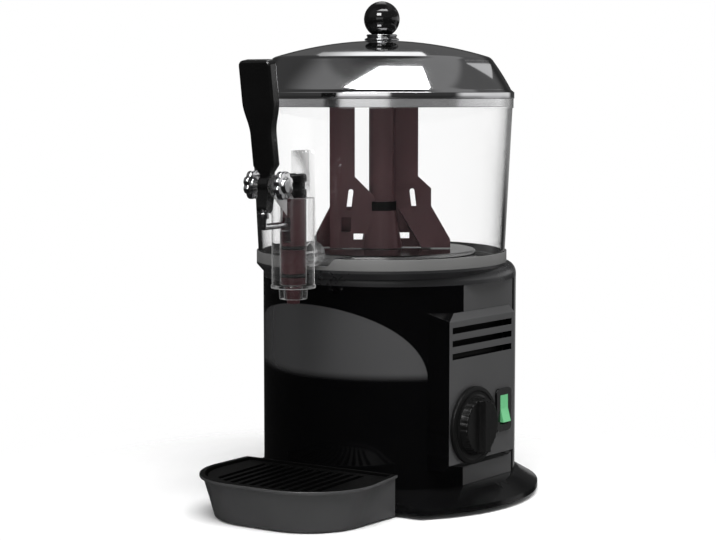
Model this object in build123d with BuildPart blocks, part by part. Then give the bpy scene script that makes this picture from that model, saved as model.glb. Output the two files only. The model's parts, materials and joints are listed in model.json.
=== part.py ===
import os
from math import cos, radians, sin, sqrt

from build123d import *

os.makedirs("parts", exist_ok=True)

# Driving dimensions in millimetres and degrees. Reaches are measured from the bowl axis, heights from the table.

# Footprint. The origin is the middle of it, on the table.
foot_radius = 130.0  # flared foot
tray_reach = 190.0  # front of the drip tray
bowl_y = (tray_reach - foot_radius) / 2

# Fits
fit_gap = 0.2  # between pieces fixed together
slide_gap = 0.3  # between pieces that slide
run_gap = 0.05  # round a turning shaft

# Base
foot_gap = 4.0  # table to the underside of the base
foot_rim = 4.0  # upright rim of the foot
base_floor = 4.0
plinth_height = 13.0  # underside to the seat of the shells
upstand_height = 8.0  # lip that locates the shells
upstand_wall = 3.0
notch_margin = 1.0  # base left in front of the body
rubber_radius = 11.0
rubber_recess = 2.0
rubber_reach = 95.0

# Body
body_radius = 105.0
body_set_back = 13.0  # body axis behind the bowl axis
body_wall = 2.5
body_height = 160.0
vent_width = 64.0
vent_height = 4.0
vent_pitch = 11.0
vent_rows = 6
vent_rise = 88.0  # shells' seat to the middle of the vents

# Control panel, a flat strip with a raised box, turned a little towards the front
panel_turn = 6.0
panel_half = 35.0
panel_wall = 2.5
box_rise = 6.0  # face of the box above the strip
box_front = 62.8  # reach of the box along the strip, each way from its middle line
box_back = 29.3
box_foot = 15.0  # shells' seat to the bottom of the box
box_height = 124.0
box_slope = 5.5
box_edge = 1.5
slot_height = 4.7
slot_pitch = 10.2
slot_drop = 12.8  # top of the box to the middle of the first slot
slot_margin = 4.3
slot_count = 3

# Thermostat and its knob, placed on the panel
dial_back = -31.0
dial_rise = 34.0  # above the bottom of the box
dial_radius = 31.0
dial_skirt = 3.5
grip_radius = 23.0
grip_height = 6.5
ridge_width = 9.0
ridge_height = 5.0
thermo_bush = 5.0
thermo_shaft = 3.0
thermo_size = 34.0
thermo_depth = 24.0
thermo_set_in = 17.0  # back of the bush below the panel face
bulb_radius = 3.5
bulb_length = 36.0
bulb_angle = -32.0
capillary_radius = 0.9

# Rocker switch, placed on the panel
switch_back = 12.0
switch_rise = 40.7
rocker_width = 10.7
rocker_height = 22.0
rocker_play = 1.0  # above and below the rocker
rocker_rise = 6.2
rocker_dish = 1.4
rocker_tilt = 8.0
rocker_depth = 4.0
trunnion_radius = 1.5
switch_wall = 2.0
switch_depth = 24.0
bezel_width = 21.0
bezel_height = 35.0
bezel_rise = 2.0

# Deck
deck_height = 13.0
shoulder = 10.0
deck_plate = 3.5
deck_rim = 6.0
collar_radius = 103.0  # round ledge under the bowl
collar_foot = 98.5
collar_height = 7.0
collar_edge = 2.0
collar_step = 0.8  # ledge above the shoulder
spigot_height = 6.0

# Bain-marie tank and hot plate
tank_radius = 83.0
tank_depth = 78.0
tank_gap = 1.5
sheet = 1.5
plate_radius = 78.0
plate_rise = 10.0
flange_radius = 96.0
gasket_height = 3.0
gasket_radius = 102.3
pipe_radius = 7.5
pipe_bore = 6.0
pipe_height = 126.0  # above the deck
pipe_flange = 14.0
element_radius = 4.0
element_circle = 58.0
element_lift = 12.0
element_gap = 40.0  # degrees left open between the terminals
terminal_drop = 12.0

# Drive
shaft_radius = 4.0
shaft_square = 5.6
square_length = 8.0
bush_length = 12.0
gearbox_width = 84.0
gearbox_depth = 60.0
gearbox_height = 30.0
gearbox_shift = -12.0
standoff = 10.0
standoff_radius = 4.0
motor_radius = 26.0
motor_height = 46.0
motor_shift = -24.0

# Bowl
bowl_foot_radius = 101.3
bowl_top_radius = 107.0
bowl_wall = 3.0
bowl_height = 131.0
rim_height = 9.0
rim_radius = 107.8
rim_wall = 4.2

# Tap
tap_reach = 131.3
tap_radius = 16.5
tap_bore = 10.0
tap_drop = 12.2  # foot of the tube below the foot of the bowl
tap_height = 54.3  # top of the tube above the foot of the bowl
tap_rib = 5.0
ear_set_in = 2.0  # roots of the ears in the tube's wall
rib_height = 90.3  # top of the rib above the foot of the bowl
rib_front = 1.5  # front edge of the rib behind the tube's axis
guard_bore = 11.2  # clearance of the rising piston in the rib
port_rise = 6.8
port_radius = 5.0
neck_radius = 9.8
finger_slot = 3.2
finger_slot_drop = 4.5  # below the finger
finger_slot_rise = 17.0
nozzle_flange = 17.2
nozzle_flange_height = 2.5
nozzle_radius = 11.2
nozzle_bore = 7.0
nozzle_length = 8.5

# Lever and its pivot
pivot_reach = 164.6
pivot_rise = 65.3  # above the foot of the bowl
pivot_radius = 3.0
ear_inside = 5.0
ear_thick = 4.3
ear_radius = 8.0
ear_root = 26.5  # foot of the ears below the pivot
thumb_radius = 11.2
thumb_hub = 6.4
thumb_hub_length = 1.4
thumb_rim = 4.8
thumb_cap = 2.6
thumb_notches = 8
notch_radius = 1.9
lever_lean = 8.6
lever_length = 94.1
lever_thick = 10.0
lever_neck = 9.4
lever_head = 14.2
lever_corner = 4.0
lever_edge = 2.0
shoulder_low = 9.0  # along the lever from the pivot
shoulder_high = 15.0
swell_low = 38.0
swell_high = 64.0
tail_half = 4.5
tail_drop = 16.0  # middle of the tail's round end below the pivot
tail_forward = 4.6
tail_end_radius = 4.5
finger_drop = 31.0  # finger below the pivot
finger_forward = 6.4  # its upright leg in front of the pivot
finger_radius = 2.5
finger_collar = 4.0
finger_collar_height = 4.0
finger_reach_in = 5.2  # tip in front of the tube's axis

# Piston
piston_lift_gap = 0.3
piston_tip_radius = 6.4
piston_tip = 14.8  # through the nozzle and a little out of it
piston_stroke = 17.6
piston_stand = 0.5  # piston above the top of the tube
head_radius = 10.4
head_height = 18.0
head_grip = 1.2
head_slot_gap = 0.5  # between the head and the rib
window_half = 3.5
window_drop = 13.5  # below the finger
window_rise = 5.0
ring_section = 1.35
ring_low = 6.9  # above the foot of the piston
ring_pitch = 21.3

# Stirrer
stir_turn = 31.0  # rest angle of the paddles
column_radius = 10.4
column_bore = 8.5
column_cap = 4.0
hub_radius = 17.0
hub_neck = 11.8
hub_lift = 0.6
hub_height = 30.4
hub_collar = 8.0
arm_width = 20.5
arm_thick = 5.0
arm_offset = 7.0
arm_near = 9.6
arm_far = 22.0
arm_top_gap = 2.2  # below the bowl's rim
web_thick = 4.0
web_reach = 41.0
web_flare = 48.4  # height of the web's outer corner
web_high = 58.4
web_root = 36.4
web_slot_width = 4.0
web_slot_length = 18.0
web_slot_reach = 26.0
web_slot_rise = 39.4
web_slot_lean = 7.0
web_window_width = 9.0
web_window_height = 5.0
web_window_reach = 18.5
web_window_rise = 9.4
web_pocket_width = 8.0
web_pocket_height = 12.0
web_pocket_reach = 29.0
web_pocket_rise = 19.4
scraper_thick = 3.5
scraper_reach = 56.5
scraper_tip = 6.9
scraper_high = 35.4
scraper_lean = 20.0
scraper_near = 15.0
scraper_heel = 33.0

# Lid
lid_wall = 1.5
lid_flange = 108.4
lid_flange_height = 5.5
lid_cone_foot = 105.8
lid_shoulder_radius = 89.5
lid_cone_height = 26.0
lid_dome = 14.0
lid_lip = 8.2
lid_lip_gap = 0.6
ball_radius = 14.6
ball_rise = 17.3  # middle of the ball above the lid
stem_radius = 5.0
washer_radius = 14.0
washer_edge = 1.6
washer_height = 5.0
screw_radius = 2.5

# Drip tray and grid
tray_floor_z = 1.0
tray_rim_z = 34.0
tray_gap = 0.6
tray_front_half = 78.5
tray_back_half = 71.0
tray_corner = 52.0
tray_foot_reach = 181.0
tray_foot_front = 58.0
tray_foot_back = 69.0
tray_foot_corner = 48.0
tray_wall = 2.4
tray_lip = 2.0
tray_lip_height = 2.5
tab_side = 40.0
tab_width = 12.0
tab_height = 4.0
tab_length = 9.0
tab_z = 9.0
grid_drop = 5.0  # grid below the rim
grid_thick = 3.0
grid_margin = 0.8
grid_bar = 4.0
grid_slot = 5.0
grid_slots = 11
grid_border = 7.0

# Rear fittings
gland_rise = 21.0  # above the shells' seat
gland_radius = 8.0
gland_head = 11.0
gland_reach = 11.0
gland_tail = 10.0
gland_bore = 4.2
screw_head = 3.6
screw_head_height = 2.2
screw_shank = 1.6
screw_length = 9.0
screw_angles = (60.0, 120.0)
block_length = 38.0
block_width = 18.0
block_height = 14.0

# Heights and places that follow from the sizes above
shell_low = foot_gap + plinth_height
shell_high = shell_low + body_height
deck_top = shell_high + deck_height
body_y = bowl_y + body_set_back
tray_back = body_radius - body_set_back + notch_margin  # reach of the base's flat front
facet = sqrt(body_radius**2 - panel_half**2)  # body axis to the face of the strip
box_face = facet + box_rise
box_low = shell_low + box_foot
box_high = box_low + box_height
vent_z = shell_low + vent_rise
gland_z = shell_low + gland_rise
dial_z = box_low + dial_rise
switch_z = box_low + switch_rise
tank_low = deck_top - tank_depth
pipe_top = deck_top + pipe_height
plate_top = deck_top + plate_rise
bowl_low = deck_top + gasket_height + fit_gap
bowl_rim_z = bowl_low + bowl_height
gear_high = tank_low - standoff
gear_low = gear_high - gearbox_height
hub_low = plate_top + hub_lift
hub_high = hub_low + hub_height
tap_foot_z = bowl_low - tap_drop
tap_full_z = bowl_low + tap_height
rib_top_z = bowl_low + rib_height
port_z = bowl_low + port_rise
pivot_z = bowl_low + pivot_rise
finger_z = pivot_z - finger_drop
finger_reach = pivot_reach + finger_forward
finger_tip_reach = tap_reach + finger_reach_in
piston_low = tap_foot_z + piston_lift_gap
piston_radius = tap_bore - slide_gap
piston_top_z = tap_full_z + piston_stand
guard_top_z = piston_top_z + piston_stroke + 2 * piston_stand
ring_heights = (piston_low + ring_low, piston_low + ring_low + ring_pitch)
arm_top_z = bowl_rim_z - arm_top_gap
square_top = pipe_top + square_length
lid_low = bowl_rim_z + fit_gap
lid_shoulder_z = lid_low + lid_flange_height + lid_cone_height
lid_top = lid_shoulder_z + lid_dome
ball_z = lid_top + ball_rise
grid_z = tray_rim_z - grid_drop
screw_heights = (shell_low + upstand_height / 2, shell_high - spigot_height / 2)
bowl_axis = Axis((0, bowl_y, 0), (0, 0, 1))
panel_out = Vector(cos(radians(panel_turn)), -sin(radians(panel_turn)), 0)
panel_along = Vector(sin(radians(panel_turn)), cos(radians(panel_turn)), 0)

# Upright planes through the bowl axis: radius or depth across, height up
section = Plane((0, bowl_y, 0), x_dir=(1, 0, 0), z_dir=(0, -1, 0))
side = Plane((0, bowl_y, 0), x_dir=(0, 1, 0), z_dir=(1, 0, 0))


def at(height):
    """Level plane centred on the bowl axis."""
    return Plane((0, bowl_y, height))


def body_at(height):
    """Level plane centred on the body axis."""
    return Plane((0, body_y, height))


def panel_at(height):
    """Level plane centred on the body axis, with X out through the control panel."""
    return Plane((0, body_y, height), x_dir=panel_out, z_dir=(0, 0, 1))


def panel_face(distance):
    """Upright plane parallel to the control panel: towards the back across, height up."""
    return Plane(Vector(0, body_y, 0) + panel_out * distance, x_dir=panel_along, z_dir=panel_out)


def radial(angle, radius, height):
    """Plane that touches a circle round the body axis and faces outwards."""
    out = Vector(cos(radians(angle)), sin(radians(angle)), 0)
    return Plane(Vector(0, body_y, height) + out * radius, x_dir=(0, 0, 1), z_dir=out)


def stir_plane(turn, offset, lean=0.0):
    """Upright plane of one half of the stirrer: reach across, height up from the hot plate."""
    angle = radians(stir_turn + turn)
    reach = Vector(cos(angle), sin(angle), 0)
    across = Vector(sin(angle), -cos(angle), 0)
    face = across * cos(radians(lean)) + Vector(0, 0, 1) * sin(radians(lean))
    return Plane(Vector(0, bowl_y, hub_low) + across * offset, x_dir=reach, z_dir=face)


def tray_outline(height, inset, back_inset):
    """Tray wall at a height, moved inwards: straight back, flared sides and a front with rounded corners."""
    share = (height - tray_floor_z) / (tray_rim_z - tray_floor_z)
    reach = tray_foot_reach + (tray_reach - tray_lip - tray_foot_reach) * share - inset
    front_half = tray_foot_front + (tray_front_half - tray_lip - tray_foot_front) * share - inset
    back_half = tray_foot_back + (tray_back_half - tray_lip - tray_foot_back) * share - inset
    corner = tray_foot_corner + (tray_corner - tray_foot_corner) * share - inset
    back = tray_back + tray_gap + back_inset
    with BuildSketch() as outline:
        with BuildLine():
            Polyline(
                (-back_half, -back),
                (back_half, -back),
                (front_half, -reach),
                (-front_half, -reach),
                close=True,
            )
        make_face()
        fillet(outline.vertices().group_by(Axis.Y)[0], radius=corner)
    return outline.sketch


# Base foot: flared skirt, floor, lip for the shells and a flat front that the tray slides up to
with BuildPart() as base_foot:
    with BuildSketch(at(foot_gap)):
        Circle(foot_radius)
    extrude(amount=foot_rim)
    with BuildSketch(at(foot_gap + foot_rim)):
        Circle(foot_radius)
    with BuildSketch(body_at(shell_low)):
        Circle(body_radius)
    loft()
    lip_radius = body_radius - body_wall - fit_gap
    with BuildSketch(body_at(shell_low)):
        Circle(lip_radius)
    extrude(amount=upstand_height)
    with BuildSketch(body_at(foot_gap + base_floor)):
        Circle(lip_radius - upstand_wall)
    extrude(amount=plinth_height + upstand_height, mode=Mode.SUBTRACT)
    with BuildSketch(panel_at(shell_low)):
        with Locations((facet - panel_wall - fit_gap, 0)):
            Rectangle(body_radius, 2 * (panel_half + fit_gap), align=(Align.MIN, Align.CENTER))
    extrude(amount=upstand_height, mode=Mode.SUBTRACT)
    with BuildSketch(at(foot_gap)):
        with Locations((0, -tray_back)):
            Rectangle(2 * foot_radius, foot_radius, align=(Align.CENTER, Align.MAX))
    extrude(amount=plinth_height, mode=Mode.SUBTRACT)
    with BuildSketch(at(tab_z - slide_gap)):
        with Locations((-tab_side, -tray_back), (tab_side, -tray_back)):
            Rectangle(tab_width + 2 * slide_gap, tab_length, align=(Align.CENTER, Align.MIN))
    extrude(amount=tab_height + 2 * slide_gap, mode=Mode.SUBTRACT)
    with BuildSketch(at(foot_gap)):
        with PolarLocations(rubber_reach, 4, start_angle=45):
            Circle(rubber_radius + fit_gap)
    extrude(amount=rubber_recess, mode=Mode.SUBTRACT)
    for screw_angle in screw_angles:
        with BuildSketch(radial(screw_angle, lip_radius, screw_heights[0])):
            Circle(screw_shank + fit_gap)
        extrude(amount=-2 * upstand_wall, mode=Mode.SUBTRACT)

# Rubber feet under the base
with BuildPart() as rubber_feet:
    with BuildSketch(at(0)):
        with PolarLocations(rubber_reach, 4, start_angle=45):
            Circle(rubber_radius)
    extrude(amount=foot_gap + rubber_recess)
    chamfer(rubber_feet.edges().group_by(Axis.Z)[0], length=1.0)

# Front shell: the gloss half of the body wall
with BuildPart() as front_shell:
    with BuildSketch(panel_at(shell_low)):
        Circle(body_radius)
        Circle(body_radius - body_wall, mode=Mode.SUBTRACT)
        Rectangle(body_radius * 2, body_radius, align=(Align.CENTER, Align.MIN), mode=Mode.SUBTRACT)
        Rectangle(body_radius, 2 * panel_half, align=(Align.MIN, Align.CENTER), mode=Mode.SUBTRACT)
    extrude(amount=body_height)
    with BuildSketch(panel_at(box_low + 2 * box_slope)):
        with Locations((facet / 2, -panel_half)):
            Rectangle(body_radius, box_front - panel_half - 3 * panel_wall, align=(Align.MIN, Align.MAX))
    extrude(amount=box_height - 4 * box_slope, mode=Mode.SUBTRACT)

# Rear cover: the other half, with vents and the hole for the cord gland
with BuildPart() as rear_cover:
    with BuildSketch(panel_at(shell_low)):
        Circle(body_radius)
        Circle(body_radius - body_wall, mode=Mode.SUBTRACT)
        Rectangle(body_radius * 2, body_radius, align=(Align.CENTER, Align.MAX), mode=Mode.SUBTRACT)
        Rectangle(body_radius, 2 * panel_half, align=(Align.MIN, Align.CENTER), mode=Mode.SUBTRACT)
    extrude(amount=body_height)
    with BuildSketch(radial(90, body_radius, 0)):
        with Locations((vent_z, 0)):
            with GridLocations(vent_pitch, 1, vent_rows, 1):
                SlotOverall(vent_width, vent_height, rotation=90)
        with Locations((gland_z, 0)):
            Circle(gland_radius + fit_gap)
    extrude(amount=-body_radius, mode=Mode.SUBTRACT)
    for screw_angle in screw_angles:
        for screw_z in screw_heights:
            with BuildSketch(radial(screw_angle, body_radius, screw_z)):
                Circle(screw_shank + fit_gap)
            extrude(amount=-2 * body_wall, mode=Mode.SUBTRACT)

# Control panel: strip, raised box with sloped ends, vent slots, dial hole and switch opening
with BuildPart() as control_panel:
    with BuildSketch(panel_at(box_low)):
        with BuildLine():
            Line((box_face, box_back), (box_face, -box_front))
            Line((box_face, -box_front), (sqrt(body_radius**2 - box_front**2), -box_front))
            mid_angle = (box_front + panel_half) / 2
            ThreePointArc(
                (sqrt(body_radius**2 - box_front**2), -box_front),
                (sqrt(body_radius**2 - mid_angle**2), -mid_angle),
                (facet, -panel_half),
            )
            Line((facet, -panel_half), (facet - panel_wall, -panel_half))
            Line((facet - panel_wall, -panel_half), (facet - panel_wall, box_back))
            Line((facet - panel_wall, box_back), (box_face, box_back))
        make_face()
    extrude(amount=box_height)
    face_edges = control_panel.edges().filter_by(
        lambda e: panel_face(box_face).to_local_coords(e.center()).Z > -0.01
    )
    chamfer(face_edges.group_by(Axis.Z)[-1] + face_edges.group_by(Axis.Z)[0], length=box_slope)
    with BuildSketch(panel_at(shell_low)):
        with Locations((facet, 0)):
            Rectangle(panel_wall, 2 * panel_half, align=(Align.MAX, Align.CENTER))
    extrude(amount=body_height)
    hollow_foot = box_low + box_slope + panel_wall / 2
    with BuildSketch(panel_at(hollow_foot)):
        with Locations((box_face - panel_wall, box_back - panel_wall)):
            Rectangle(body_radius / 2, box_front + box_back - 2 * panel_wall, align=(Align.MAX, Align.MAX))
    extrude(amount=box_height - 2 * box_slope - panel_wall, mode=Mode.SUBTRACT)
    with BuildSketch(panel_face(box_face)):
        with Locations(((box_back - box_front) / 2, box_high - slot_drop - slot_pitch * (slot_count - 1) / 2)):
            with GridLocations(1, slot_pitch, 1, slot_count):
                Rectangle(box_front + box_back - 2 * slot_margin, slot_height)
        with Locations((dial_back, dial_z)):
            Circle(thermo_bush + fit_gap)
        with Locations((switch_back, switch_z)):
            Rectangle(
                rocker_width + 2 * (slide_gap + switch_wall + fit_gap),
                rocker_height + 2 * (rocker_play + switch_wall + fit_gap),
            )
    extrude(amount=-2 * panel_wall, mode=Mode.SUBTRACT)

# Top deck: rounded shoulder, round ledge for the bowl, spigot into the shells
with BuildPart() as top_deck:
    with BuildSketch(body_at(shell_high)):
        Circle(body_radius)
    extrude(amount=deck_height - collar_step)
    fillet(top_deck.edges().group_by(Axis.Z)[-1], radius=shoulder)
    with BuildSketch(section):
        with BuildLine():
            Polyline(
                (0, deck_top - collar_height),
                (collar_foot, deck_top - collar_height),
                (collar_radius, deck_top - collar_edge),
                (collar_radius, deck_top),
                (0, deck_top),
                close=True,
            )
        make_face()
    revolve(axis=bowl_axis)
    with BuildSketch(body_at(shell_high)):
        Circle(body_radius - deck_rim)
    extrude(amount=deck_height - deck_plate, mode=Mode.SUBTRACT)
    with BuildSketch(body_at(shell_high)):
        Circle(body_radius - body_wall - fit_gap)
        Circle(body_radius - deck_rim, mode=Mode.SUBTRACT)
    extrude(amount=-spigot_height)
    with BuildSketch(panel_at(shell_high)):
        with Locations((facet - panel_wall - fit_gap, 0)):
            Rectangle(body_radius, 2 * (panel_half + fit_gap), align=(Align.MIN, Align.CENTER))
    extrude(amount=-spigot_height, mode=Mode.SUBTRACT)
    with BuildSketch(at(shell_high - spigot_height)):
        Circle(tank_radius + tank_gap)
    extrude(amount=deck_height + spigot_height, mode=Mode.SUBTRACT)
    for screw_angle in screw_angles:
        with BuildSketch(radial(screw_angle, body_radius - body_wall, screw_heights[1])):
            Circle(screw_shank + fit_gap)
        extrude(amount=-deck_rim, mode=Mode.SUBTRACT)

# Stainless hot plate: raised disc that stands up into the bowl, and the flange that sits on the deck
with BuildPart() as hot_plate:
    with BuildSketch(section):
        with BuildLine():
            Polyline(
                (pipe_radius + fit_gap, plate_top),
                (plate_radius, plate_top),
                (plate_radius, deck_top + sheet),
                (flange_radius, deck_top + sheet),
                (flange_radius, deck_top),
                (plate_radius - sheet, deck_top),
                (plate_radius - sheet, plate_top - sheet),
                (pipe_radius + fit_gap, plate_top - sheet),
                close=True,
            )
        make_face()
    revolve(axis=bowl_axis)
    fillet(hot_plate.edges().group_by(Axis.Z)[-1].sort_by(SortBy.LENGTH)[-1], radius=2 * sheet)

# Soft gasket that the bowl stands on
with BuildPart() as bowl_gasket:
    with BuildSketch(at(deck_top)):
        Circle(gasket_radius)
        Circle(flange_radius + fit_gap, mode=Mode.SUBTRACT)
    extrude(amount=gasket_height)

# Places of the element's two terminals, from the open end of its ring
terminal_spots = [
    (element_circle * cos(radians(turn)), element_circle * sin(radians(turn)))
    for turn in (90 - element_gap / 2, 90 + element_gap / 2)
]

# Water tank of the bain-marie, under the hot plate
with BuildPart() as water_tank:
    with BuildSketch(at(tank_low)):
        Circle(tank_radius)
    extrude(amount=tank_depth)
    fillet(water_tank.edges().group_by(Axis.Z)[0], radius=sheet)
    with BuildSketch(at(tank_low + sheet)):
        Circle(tank_radius - sheet)
    extrude(amount=tank_depth, mode=Mode.SUBTRACT)
    with BuildSketch(at(tank_low)):
        Circle(pipe_radius + fit_gap)
        with Locations(*terminal_spots):
            Circle(element_radius + fit_gap)
    extrude(amount=sheet, mode=Mode.SUBTRACT)

# Standpipe that carries the drive shaft up through the water and the chocolate
with BuildPart() as standpipe:
    with BuildSketch(at(gear_high + fit_gap)):
        Circle(pipe_radius)
    extrude(amount=pipe_top - gear_high - fit_gap)
    with BuildSketch(at(tank_low)):
        Circle(pipe_flange)
    extrude(amount=-sheet)
    with BuildSketch(at(gear_high)):
        Circle(pipe_bore)
    extrude(amount=pipe_top, mode=Mode.SUBTRACT)

# Tubular heating element: an open ring on two legs through the tank floor
with BuildPart() as heating_element:
    ring_z = tank_low + element_lift
    start = radians(90 + element_gap / 2)
    start_plane = Plane((0, bowl_y, 0), x_dir=(cos(start), sin(start), 0), z_dir=(sin(start), -cos(start), 0))
    with BuildSketch(start_plane):
        with Locations((element_circle, ring_z)):
            Circle(element_radius)
    revolve(axis=bowl_axis, revolution_arc=360 - element_gap)
    with Locations(*[(x, bowl_y + y, ring_z) for x, y in terminal_spots]):
        Sphere(element_radius)
    with BuildSketch(at(tank_low - terminal_drop)):
        with Locations(*terminal_spots):
            Circle(element_radius)
    extrude(amount=terminal_drop + element_lift)

# Overheat cut-out under the tank floor
with BuildPart() as overheat_cutout:
    with BuildSketch(at(tank_low)):
        with Locations((0, -element_circle)):
            Circle(2 * element_radius)
            Rectangle(7 * element_radius, 2 * element_radius)
    extrude(amount=-sheet)
    with BuildSketch(at(tank_low - sheet)):
        with Locations((0, -element_circle)):
            Circle(1.8 * element_radius)
    extrude(amount=-1.5 * element_radius)

# Gearbox under the tank, with the bore for the drive shaft
with BuildPart() as gearbox:
    with BuildSketch(at(gear_low)):
        with Locations((gearbox_shift, 0)):
            RectangleRounded(gearbox_width, gearbox_depth, standoff_radius)
    extrude(amount=gearbox_height)
    fillet(gearbox.edges().group_by(Axis.Z)[-1], radius=sheet)
    with BuildSketch(at(gear_high)):
        Circle(shaft_radius + run_gap)
    extrude(amount=-gearbox_height / 2, mode=Mode.SUBTRACT)

# Stand-offs that hang the gearbox from the tank
with BuildPart() as standoffs:
    with BuildSketch(at(gear_high)):
        with Locations((gearbox_shift, 0)):
            with GridLocations(
                gearbox_width - 5 * standoff_radius, gearbox_depth - 5 * standoff_radius, 2, 2
            ):
                RegularPolygon(standoff_radius, 6)
    extrude(amount=standoff)

# Motor can under the gearbox
with BuildPart() as motor:
    with BuildSketch(at(gear_low)):
        with Locations((motor_shift, 0)):
            Circle(motor_radius)
    extrude(amount=-motor_height)
    fillet(motor.edges().group_by(Axis.Z)[0], radius=2 * sheet)

# Drive shaft with a square end for the stirrer
with BuildPart() as drive_shaft:
    with BuildSketch(at(gear_high - gearbox_height / 2)):
        Circle(shaft_radius)
    extrude(amount=pipe_top - gear_high + gearbox_height / 2)
    with BuildSketch(at(pipe_top)):
        Rectangle(shaft_square, shaft_square)
    extrude(amount=square_length)

# Plain bushes at both ends of the standpipe
with BuildPart() as shaft_bushes:
    for bush_z in (gear_high + sheet, pipe_top - bush_length):
        with BuildSketch(at(bush_z)):
            Circle(pipe_bore)
            Circle(shaft_radius + run_gap, mode=Mode.SUBTRACT)
        extrude(amount=bush_length)

# Thermostat body behind the panel, with the bush that comes through it
with BuildPart() as thermostat:
    with BuildSketch(panel_face(box_face - thermo_set_in)):
        with Locations((dial_back, dial_z)):
            RectangleRounded(thermo_size, thermo_size, standoff_radius)
    extrude(amount=-thermo_depth)
    with BuildSketch(panel_face(box_face - thermo_set_in)):
        with Locations((dial_back, dial_z)):
            Circle(thermo_bush)
    extrude(amount=thermo_set_in + fit_gap)
    with BuildSketch(panel_face(box_face + fit_gap)):
        with Locations((dial_back, dial_z)):
            Circle(thermo_shaft + run_gap)
    extrude(amount=-thermo_set_in, mode=Mode.SUBTRACT)

# Bulb on the tank wall and the capillary that joins it to the thermostat
bulb_spot = Vector(cos(radians(bulb_angle)), sin(radians(bulb_angle)), 0) * (tank_radius + bulb_radius + fit_gap)
with BuildPart() as thermostat_bulb:
    bulb_low = tank_low + 4 * bulb_radius
    bulb_y = bowl_y + bulb_spot.Y
    bulb_foot = Vector(bulb_spot.X, bulb_y, bulb_low)
    with BuildSketch(at(bulb_low)):
        with Locations((bulb_spot.X, bulb_spot.Y)):
            Circle(bulb_radius)
    extrude(amount=bulb_length)
    thermo_top = panel_face(box_face - thermo_set_in - thermo_depth / 2).from_local_coords(
        Vector(dial_back, dial_z + thermo_size / 2, 0)
    )
    bend_z = (thermo_top.Z + bulb_low) / 2
    with BuildLine() as capillary:
        FilletPolyline(
            thermo_top,
            Vector(thermo_top.X, thermo_top.Y, bend_z),
            Vector(bulb_spot.X, bulb_y, bend_z),
            bulb_foot,
            radius=6 * capillary_radius,
        )
    with BuildSketch(Plane(thermo_top, z_dir=(0, 0, 1))):
        Circle(capillary_radius)
    sweep(path=capillary.line)

# Thermostat knob: skirt, fluted grip and a raised ridge
with BuildPart() as thermostat_knob:
    knob_low = box_face + slide_gap
    with BuildSketch(panel_face(knob_low)):
        with Locations((dial_back, dial_z)):
            Circle(dial_radius)
    extrude(amount=dial_skirt)
    chamfer(
        thermostat_knob.faces().sort_by(Axis(Vector(0, 0, 0), panel_out))[-1].edges(), length=dial_skirt / 3
    )
    with BuildSketch(panel_face(knob_low + dial_skirt)):
        with Locations((dial_back, dial_z)):
            Circle(grip_radius)
            with PolarLocations(grip_radius, 18):
                Circle(grip_radius / 14, mode=Mode.SUBTRACT)
    extrude(amount=grip_height, taper=4)
    with BuildSketch(panel_face(knob_low + dial_skirt + grip_height)):
        with Locations((dial_back, dial_z)):
            SlotOverall(2 * grip_radius - ridge_width / 2, ridge_width, rotation=90)
    extrude(amount=ridge_height, taper=8)
    with BuildSketch(panel_face(knob_low)):
        with Locations((dial_back, dial_z)):
            Circle(thermo_shaft + fit_gap)
    extrude(amount=dial_skirt + grip_height, mode=Mode.SUBTRACT)

# Thermostat shaft, turned by the knob
with BuildPart() as thermostat_shaft:
    with BuildSketch(panel_face(box_face + fit_gap - thermo_set_in)):
        with Locations((dial_back, dial_z)):
            Circle(thermo_shaft)
    extrude(amount=thermo_set_in + dial_skirt + grip_height + slide_gap - fit_gap)

# Switch housing: snap-in body and the flange in front of the panel
open_width = rocker_width + 2 * slide_gap
open_height = rocker_height + 2 * rocker_play
with BuildPart() as switch_housing:
    with BuildSketch(panel_face(box_face)):
        with Locations((switch_back, switch_z)):
            Rectangle(open_width + 2 * switch_wall, open_height + 2 * switch_wall)
    extrude(amount=-switch_depth)
    with BuildSketch(panel_face(box_face)):
        with Locations((switch_back, switch_z)):
            RectangleRounded(bezel_width, bezel_height, 2 * bezel_rise)
    extrude(amount=bezel_rise)
    with BuildSketch(panel_face(box_face + bezel_rise)):
        with Locations((switch_back, switch_z)):
            Rectangle(open_width, open_height)
    extrude(amount=-switch_depth / 2, mode=Mode.SUBTRACT)
    trunnion_spot = panel_face(box_face - rocker_depth).from_local_coords(Vector(switch_back, switch_z, 0))
    trunnion_plane = Plane(trunnion_spot, x_dir=panel_out, z_dir=panel_along)
    with BuildSketch(trunnion_plane):
        Circle(trunnion_radius + run_gap)
    extrude(amount=open_width / 2 + switch_wall * 0.75, both=True, mode=Mode.SUBTRACT)

# Lit rocker on its trunnions, resting with the top pressed in
with BuildPart() as rocker:
    pressed_out = panel_out * cos(radians(rocker_tilt)) + Vector(0, 0, 1) * sin(radians(rocker_tilt))
    pressed = Plane(trunnion_spot, x_dir=pressed_out, z_dir=panel_along)
    half = rocker_height / 2
    with BuildSketch(pressed):
        with BuildLine():
            Polyline(
                (-rocker_depth, -half + rocker_dish),
                (rocker_rise + rocker_dish, -half),
                (rocker_rise, 0),
                (rocker_rise + rocker_dish, half),
                (-rocker_depth, half - rocker_dish),
                close=True,
            )
        make_face()
    extrude(amount=rocker_width / 2, both=True)
    with BuildSketch(trunnion_plane):
        Circle(trunnion_radius)
    extrude(amount=open_width / 2 + switch_wall * 0.7, both=True)

# Terminal block on the base floor
with BuildPart() as terminal_block:
    with BuildSketch(at(foot_gap + base_floor)):
        with Locations((0, body_radius - 2.5 * block_width)):
            Rectangle(block_length, block_width)
    extrude(amount=block_height)
    with BuildSketch(at(foot_gap + base_floor + block_height)):
        with Locations((0, body_radius - 2.5 * block_width)):
            with GridLocations(block_length / 3, block_width / 2, 3, 2):
                Circle(block_width / 7)
    extrude(amount=-block_height / 2, mode=Mode.SUBTRACT)

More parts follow.
